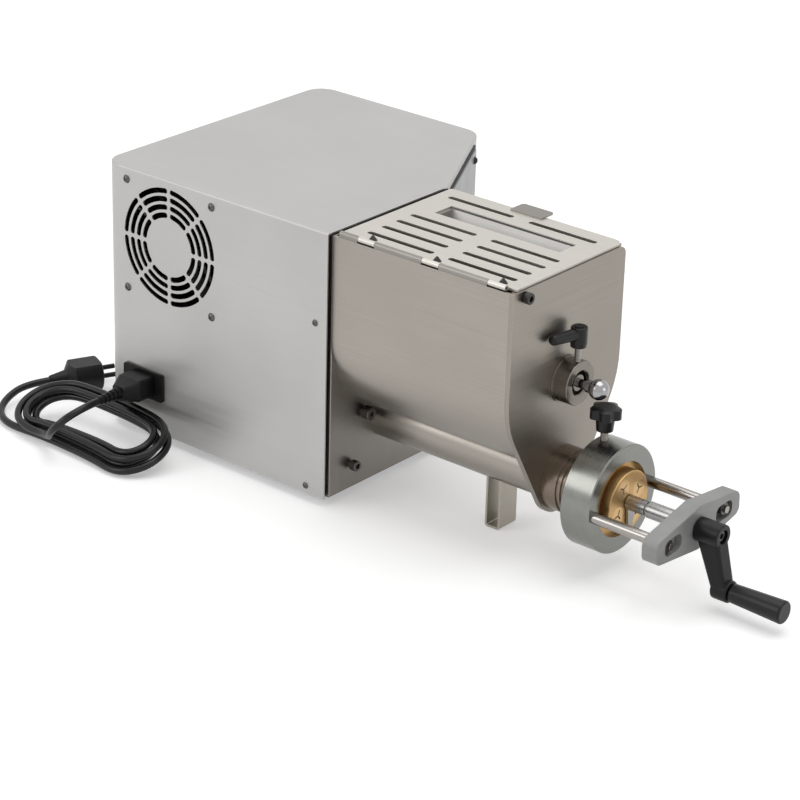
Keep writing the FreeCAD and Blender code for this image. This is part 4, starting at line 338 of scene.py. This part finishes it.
def threaded(name, colour, axis="Z", pitch=0.00125, rough=0.32):
    """Screw thread shown by fine ridges across an axis, with painted shade in the grooves and a painted
    highlight on the crests.
    """
    s = Shader(name)
    base = linear(colour)
    wave = s.new("ShaderNodeTexWave", wave_type="BANDS", bands_direction=axis, wave_profile="TRI")
    wave.inputs["Scale"].default_value = WAVE_LENGTH / pitch
    s.link(s.coords, wave.inputs["Vector"])
    marks = s.noise(s.mapped(), 500.0, 3.0)
    # Painted shade in the thread grooves (0.45 of the base colour) and painted highlight on the crests (1.15
    # of the base colour).
    tone = s.mix(wave.outputs["Fac"], scaled(base, 0.45), scaled(base, 1.15))
    s.link(s.mix(s.span(marks, 0.0, 0.4), tone, scaled(base, 0.7)), s.surface.inputs["Base Color"])
    s.surface.inputs["Metallic"].default_value = 1.0
    s.link(s.span(marks, rough - 0.05, rough + 0.12), s.surface.inputs["Roughness"])
    s.bump(wave.outputs["Fac"], 0.7, 0.0004)
    return s.material


AUGER_AXIS = P(0, 83.1, 67.3)
MIXER_AXIS = P(0, 83.1, 159.6)
X_STREAK = (5, 900, 900)
Z_STREAK = (900, 900, 6)

cover_steel = brushed("cover_steel", (184, 183, 181), 0.42, X_STREAK, 0.9, 0.05)
tray_steel = brushed("tray_steel", (150, 150, 152), 0.5, X_STREAK)
plate_steel = brushed("plate_steel", (140, 136, 131), 0.36, Z_STREAK, 1.0, 0.08)
hopper_steel = brushed("hopper_steel", (158, 152, 145), 0.34, X_STREAK, 1.0, 0.08)
end_steel = brushed("end_steel", (148, 142, 134), 0.36, (900, 7, 900), 1.0, 0.10)
lid_steel = brushed("lid_steel", (199, 195, 188), 0.40, X_STREAK, 0.95, 0.05)
strap_steel = brushed("strap_steel", (176, 170, 160), 0.4, Z_STREAK)
inner_steel = brushed("inner_steel", (160, 158, 155), 0.3, X_STREAK)
chute_steel = brushed("chute_steel", (170, 168, 165), 0.45, X_STREAK, 0.8)
neck_steel = turned("neck_steel", (126, 114, 102), AUGER_AXIS, "X", 0.26)
boss_steel = turned("boss_steel", (128, 122, 115), MIXER_AXIS, "X", 0.24)
ring_steel = turned("ring_steel", (134, 135, 130), AUGER_AXIS, "X", 0.24, 1.0, 0.07, 5200.0)
rod_steel = turned("rod_steel", (158, 154, 150), AUGER_AXIS, "X", 0.18, 1.0, 0.04)
shaft_steel = turned("shaft_steel", (150, 149, 147), AUGER_AXIS, "X", 0.22)
ball_steel = turned("ball_steel", (160, 159, 160), MIXER_AXIS, "X", 0.14, 1.0, 0.04)
die_brass = turned("die_brass", (196, 160, 108), AUGER_AXIS, "X", 0.36, 1.0, 0.09, 900.0)
insert_brass = turned("insert_brass", (206, 172, 124), AUGER_AXIS, "X", 0.30, 1.0, 0.08, 1500.0)
bush_brass = turned("bush_brass", (176, 140, 90), AUGER_AXIS, "X", 0.35)
yoke_cast = moulded("yoke_cast", (134, 134, 133), 0.42, 2200.0, 0.00008, 0.0, 1.25, 0.2)
screw_steel = turned("screw_steel", (96, 93, 90), AUGER_AXIS, "X", 0.3)
dark_screw = moulded("dark_screw", (52, 50, 48), 0.35, 2500.0, 0.00004, 0.0, 2.2, 0.6)
stud_thread = threaded("stud_thread", (170, 166, 160), "Z")
black_plastic = moulded("black_plastic", (11, 11, 12), 0.30, 1800.0, 0.00005, 0.0, 1.9, 0.0, 0.3)
crank_plastic = moulded("crank_plastic", (13, 13, 14), 0.36, 2400.0, 0.00008, 0.0, 1.9, 0.0, 0.25)
grip_plastic = moulded("grip_plastic", (12, 12, 13), 0.32, 2400.0, 0.00006, 0.0, 1.9, 0.0, 0.3)
cord_rubber = moulded("cord_rubber", (12, 12, 13), 0.30, 900.0, 0.00004, 0.0, 1.6, 0.0, 0.35)
connector_plastic = moulded("connector_plastic", (11, 11, 12), 0.4, 2200.0, 0.00006, 0.0, 1.8, 0.0, 0.25)
foot_rubber = moulded("foot_rubber", (24, 24, 24), 0.7, 1500.0, 0.0001)
gasket_rubber = moulded("gasket_rubber", (18, 18, 18), 0.6)
panel_paint = moulded("panel_paint", (122, 123, 124), 0.38, 2600.0, 0.00004, 0.2, 1.3)
green_cap = moulded("green_cap", (30, 140, 62), 0.28, 2600.0, 0.00002, 0.4, 1.3)
red_cap = moulded("red_cap", (176, 28, 30), 0.28, 2600.0, 0.00002, 0.4, 1.3)
motor_paint = moulded("motor_paint", (72, 78, 88), 0.5, 900.0, 0.0001)
gear_cast = moulded("gear_cast", (150, 152, 154), 0.55, 700.0, 0.0002, 0.0, 1.3, 0.5)

WEAR = {
    "housing_cover": cover_steel, "base_tray": tray_steel, "rubber_feet": foot_rubber,
    "mounting_plate": plate_steel, "panel_gasket": gasket_rubber, "control_panel": panel_paint,
    "start_button": green_cap, "stop_button": red_cap, "button_bezels": black_plastic,
    "selector_knob": black_plastic, "switch_blocks": black_plastic, "fan_frame": black_plastic,
    "fan_rotor": black_plastic, "motor": motor_paint, "gearbox": gear_cast, "motor_cradle": tray_steel,
    "power_inlet": connector_plastic, "hopper_trough": hopper_steel, "auger_barrel": hopper_steel,
    "end_plate": end_steel, "barrel_neck": neck_steel, "foot_strap": strap_steel, "auger": inner_steel,
    "mixer": inner_steel, "shaft_boss": boss_steel, "clamp_stud": stud_thread, "clamp_lever": black_plastic,
    "lock_pin": ball_steel, "pin_ball": ball_steel, "clamp_ring": ring_steel, "star_stud": stud_thread,
    "star_knob": black_plastic, "die_body": die_brass, "die_inserts": insert_brass, "guide_rods": rod_steel,
    "yoke": yoke_cast, "rod_nuts": screw_steel, "yoke_bush": bush_brass, "cutter_shaft": shaft_steel,
    "cutter_blade": shaft_steel, "crank_arm": crank_plastic, "crank_screw": screw_steel,
    "crank_grip": grip_plastic, "lid_plate": lid_steel, "hinge_rail": plate_steel, "hinge_pin": rod_steel,
    "lid_rivets": dark_screw, "feed_chute": chute_steel, "lid_tab": plate_steel, "lid_sensor": black_plastic,
    "fan_screws": screw_steel, "cover_screws": screw_steel, "plate_screws": screw_steel,
    "end_plate_screw": dark_screw, "panel_screws": black_plastic, "cord_connector": connector_plastic,
    "cord_lead": cord_rubber, "cord_coil": cord_rubber, "cord_tail": cord_rubber,
    "mains_plug": connector_plastic,
}
for name, material in WEAR.items():
    mesh = NODES[name].data
    mesh.materials.clear()
    mesh.materials.append(material)
cord_data.materials.append(cord_rubber)


def mesh_piece(name, body, material, build):
    """New object from a bmesh builder, riding on a body."""
    bm = bmesh.new()
    build(bm)
    bmesh.ops.recalc_face_normals(bm, faces=bm.faces)
    mesh = bpy.data.meshes.new(name)
    bm.to_mesh(mesh)
    bm.free()
    mesh.materials.append(material)
    piece = bpy.data.objects.new(name, mesh)
    bpy.context.scene.collection.objects.link(piece)
    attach(piece, body)


# Floor and light
FLOOR_SIZE = 14.0
FLOOR_DROP = 0.0006
FLOOR_GLOW = 0.30
WORLD_LIGHT = 0.52
WORLD_SEEN = 1.0
floor_data = bpy.data.meshes.new("floor")
bm = bmesh.new()
bmesh.ops.create_grid(bm, x_segments=8, y_segments=8, size=FLOOR_SIZE)
bm.to_mesh(floor_data)
bm.free()
floor = bpy.data.objects.new("floor", floor_data)
bpy.context.scene.collection.objects.link(floor)
floor.location = (0, 0, -FLOOR_DROP)
s = Shader("floor_paper")
s.surface.inputs["Base Color"].default_value = (0.86, 0.86, 0.86, 1)
s.surface.inputs["Roughness"].default_value = 0.9
s.surface.inputs["Specular IOR Level"].default_value = 0.1
paths = s.new("ShaderNodeLightPath")
glow = s.new("ShaderNodeEmission")
glow.inputs["Color"].default_value = (1, 1, 1, 1)
s.link(s.math("MULTIPLY", s.math("MAXIMUM", paths.outputs["Is Camera Ray"],
                                 paths.outputs["Is Glossy Ray"]), FLOOR_GLOW), glow.inputs["Strength"])
both = s.new("ShaderNodeAddShader")
s.link(s.surface.outputs[0], both.inputs[0])
s.link(glow.outputs[0], both.inputs[1])
s.link(both.outputs[0], s.out.inputs[0])
floor_data.materials.append(s.material)

world = bpy.data.worlds.new("studio")
bpy.context.scene.world = world
world.use_nodes = True
tree = world.node_tree
tree.nodes.clear()
out = tree.nodes.new("ShaderNodeOutputWorld")
background = tree.nodes.new("ShaderNodeBackground")
paths = tree.nodes.new("ShaderNodeLightPath")
seen = tree.nodes.new("ShaderNodeMath")
seen.operation = "MAXIMUM"
through = tree.nodes.new("ShaderNodeMath")
through.operation = "MAXIMUM"
tree.links.new(paths.outputs["Is Glossy Ray"], through.inputs[0])
tree.links.new(paths.outputs["Is Transmission Ray"], through.inputs[1])
tree.links.new(paths.outputs["Is Camera Ray"], seen.inputs[0])
tree.links.new(through.outputs[0], seen.inputs[1])
strength = tree.nodes.new("ShaderNodeMapRange")
strength.inputs["To Min"].default_value = WORLD_LIGHT
strength.inputs["To Max"].default_value = WORLD_SEEN
tree.links.new(seen.outputs[0], strength.inputs["Value"])
background.inputs["Color"].default_value = (1, 1, 1, 1)
tree.links.new(strength.outputs[0], background.inputs["Strength"])
tree.links.new(background.outputs[0], out.inputs[0])


def softbox(name, place, target, size, power):
    """Area light that points at a target."""
    lamp = bpy.data.lights.new(name, "AREA")
    lamp.shape = "RECTANGLE"
    lamp.size = size[0]
    lamp.size_y = size[1]
    lamp.energy = power
    thing = bpy.data.objects.new(name, lamp)
    bpy.context.scene.collection.objects.link(thing)
    thing.location = place
    aim = (Vector(target) - Vector(place)).normalized()
    thing.rotation_euler = aim.to_track_quat("-Z", "Y").to_euler()


softbox("top_light", (0.0, 0.2, 2.4), (0, 0, 0.1), (2.6, 2.0), 30)
softbox("front_light", (-1.4, -2.2, 1.5), (-0.1, 0, 0.15), (1.6, 1.4), 16)
softbox("side_light", (2.6, 0.4, 0.9), (0.1, 0, 0.1), (1.2, 1.2), 7)

scene = bpy.context.scene
scene.view_settings.view_transform = "Standard"


# Dial marks on the control panel, round the selector knob
CHAMFER_START = Vector((-1.7, 163.2, 260.7))
CHAMFER_RUN = (73.0, 135.8)
KNOB_DROP = 125.0
PANEL_THICKNESS = 2.5
MARK_COUNT = 7
MARK_STEP = 30
MARK_RADII = (19.0, 23.0)
MARK_HALF_WIDTH = 0.5
MARK_LIFT = (0.02, 0.25)


def dial_marks(bm):
    """White marks in a half circle over the knob."""
    back, side = CHAMFER_RUN
    run = Vector((-back, side, 0.0)).normalized()
    out = Vector((side, back, 0.0)).normalized()
    down = Vector((0, 0, KNOB_DROP))
    centre = CHAMFER_START + run * (math.hypot(back, side) / 2) - down + out * PANEL_THICKNESS
    near, far = MARK_RADII
    half = MARK_HALF_WIDTH
    for k in range(MARK_COUNT):
        a = math.radians(-90 + MARK_STEP * k)
        way = run * math.sin(a) + Vector((0, 0, math.cos(a)))
        wide = run * math.cos(a) - Vector((0, 0, math.sin(a)))
        corners = []
        for lift in MARK_LIFT:
            for r, w in ((near, -half), (near, half), (far, half), (far, -half)):
                p = centre + way * r + wide * w + out * lift
                corners.append(bm.verts.new(P(*p)))
        bm.faces.new(corners[:4])
        bm.faces.new(corners[4:])
        for i in range(4):
            j = (i + 1) % 4
            bm.faces.new((corners[i], corners[j], corners[4 + j], corners[4 + i]))


white_print = moulded("white_print", (220, 220, 222), 0.6, 1800.0, 0.00002)
mesh_piece("dial_marks", "frame", white_print, dial_marks)

bpy.context.view_layer.update()
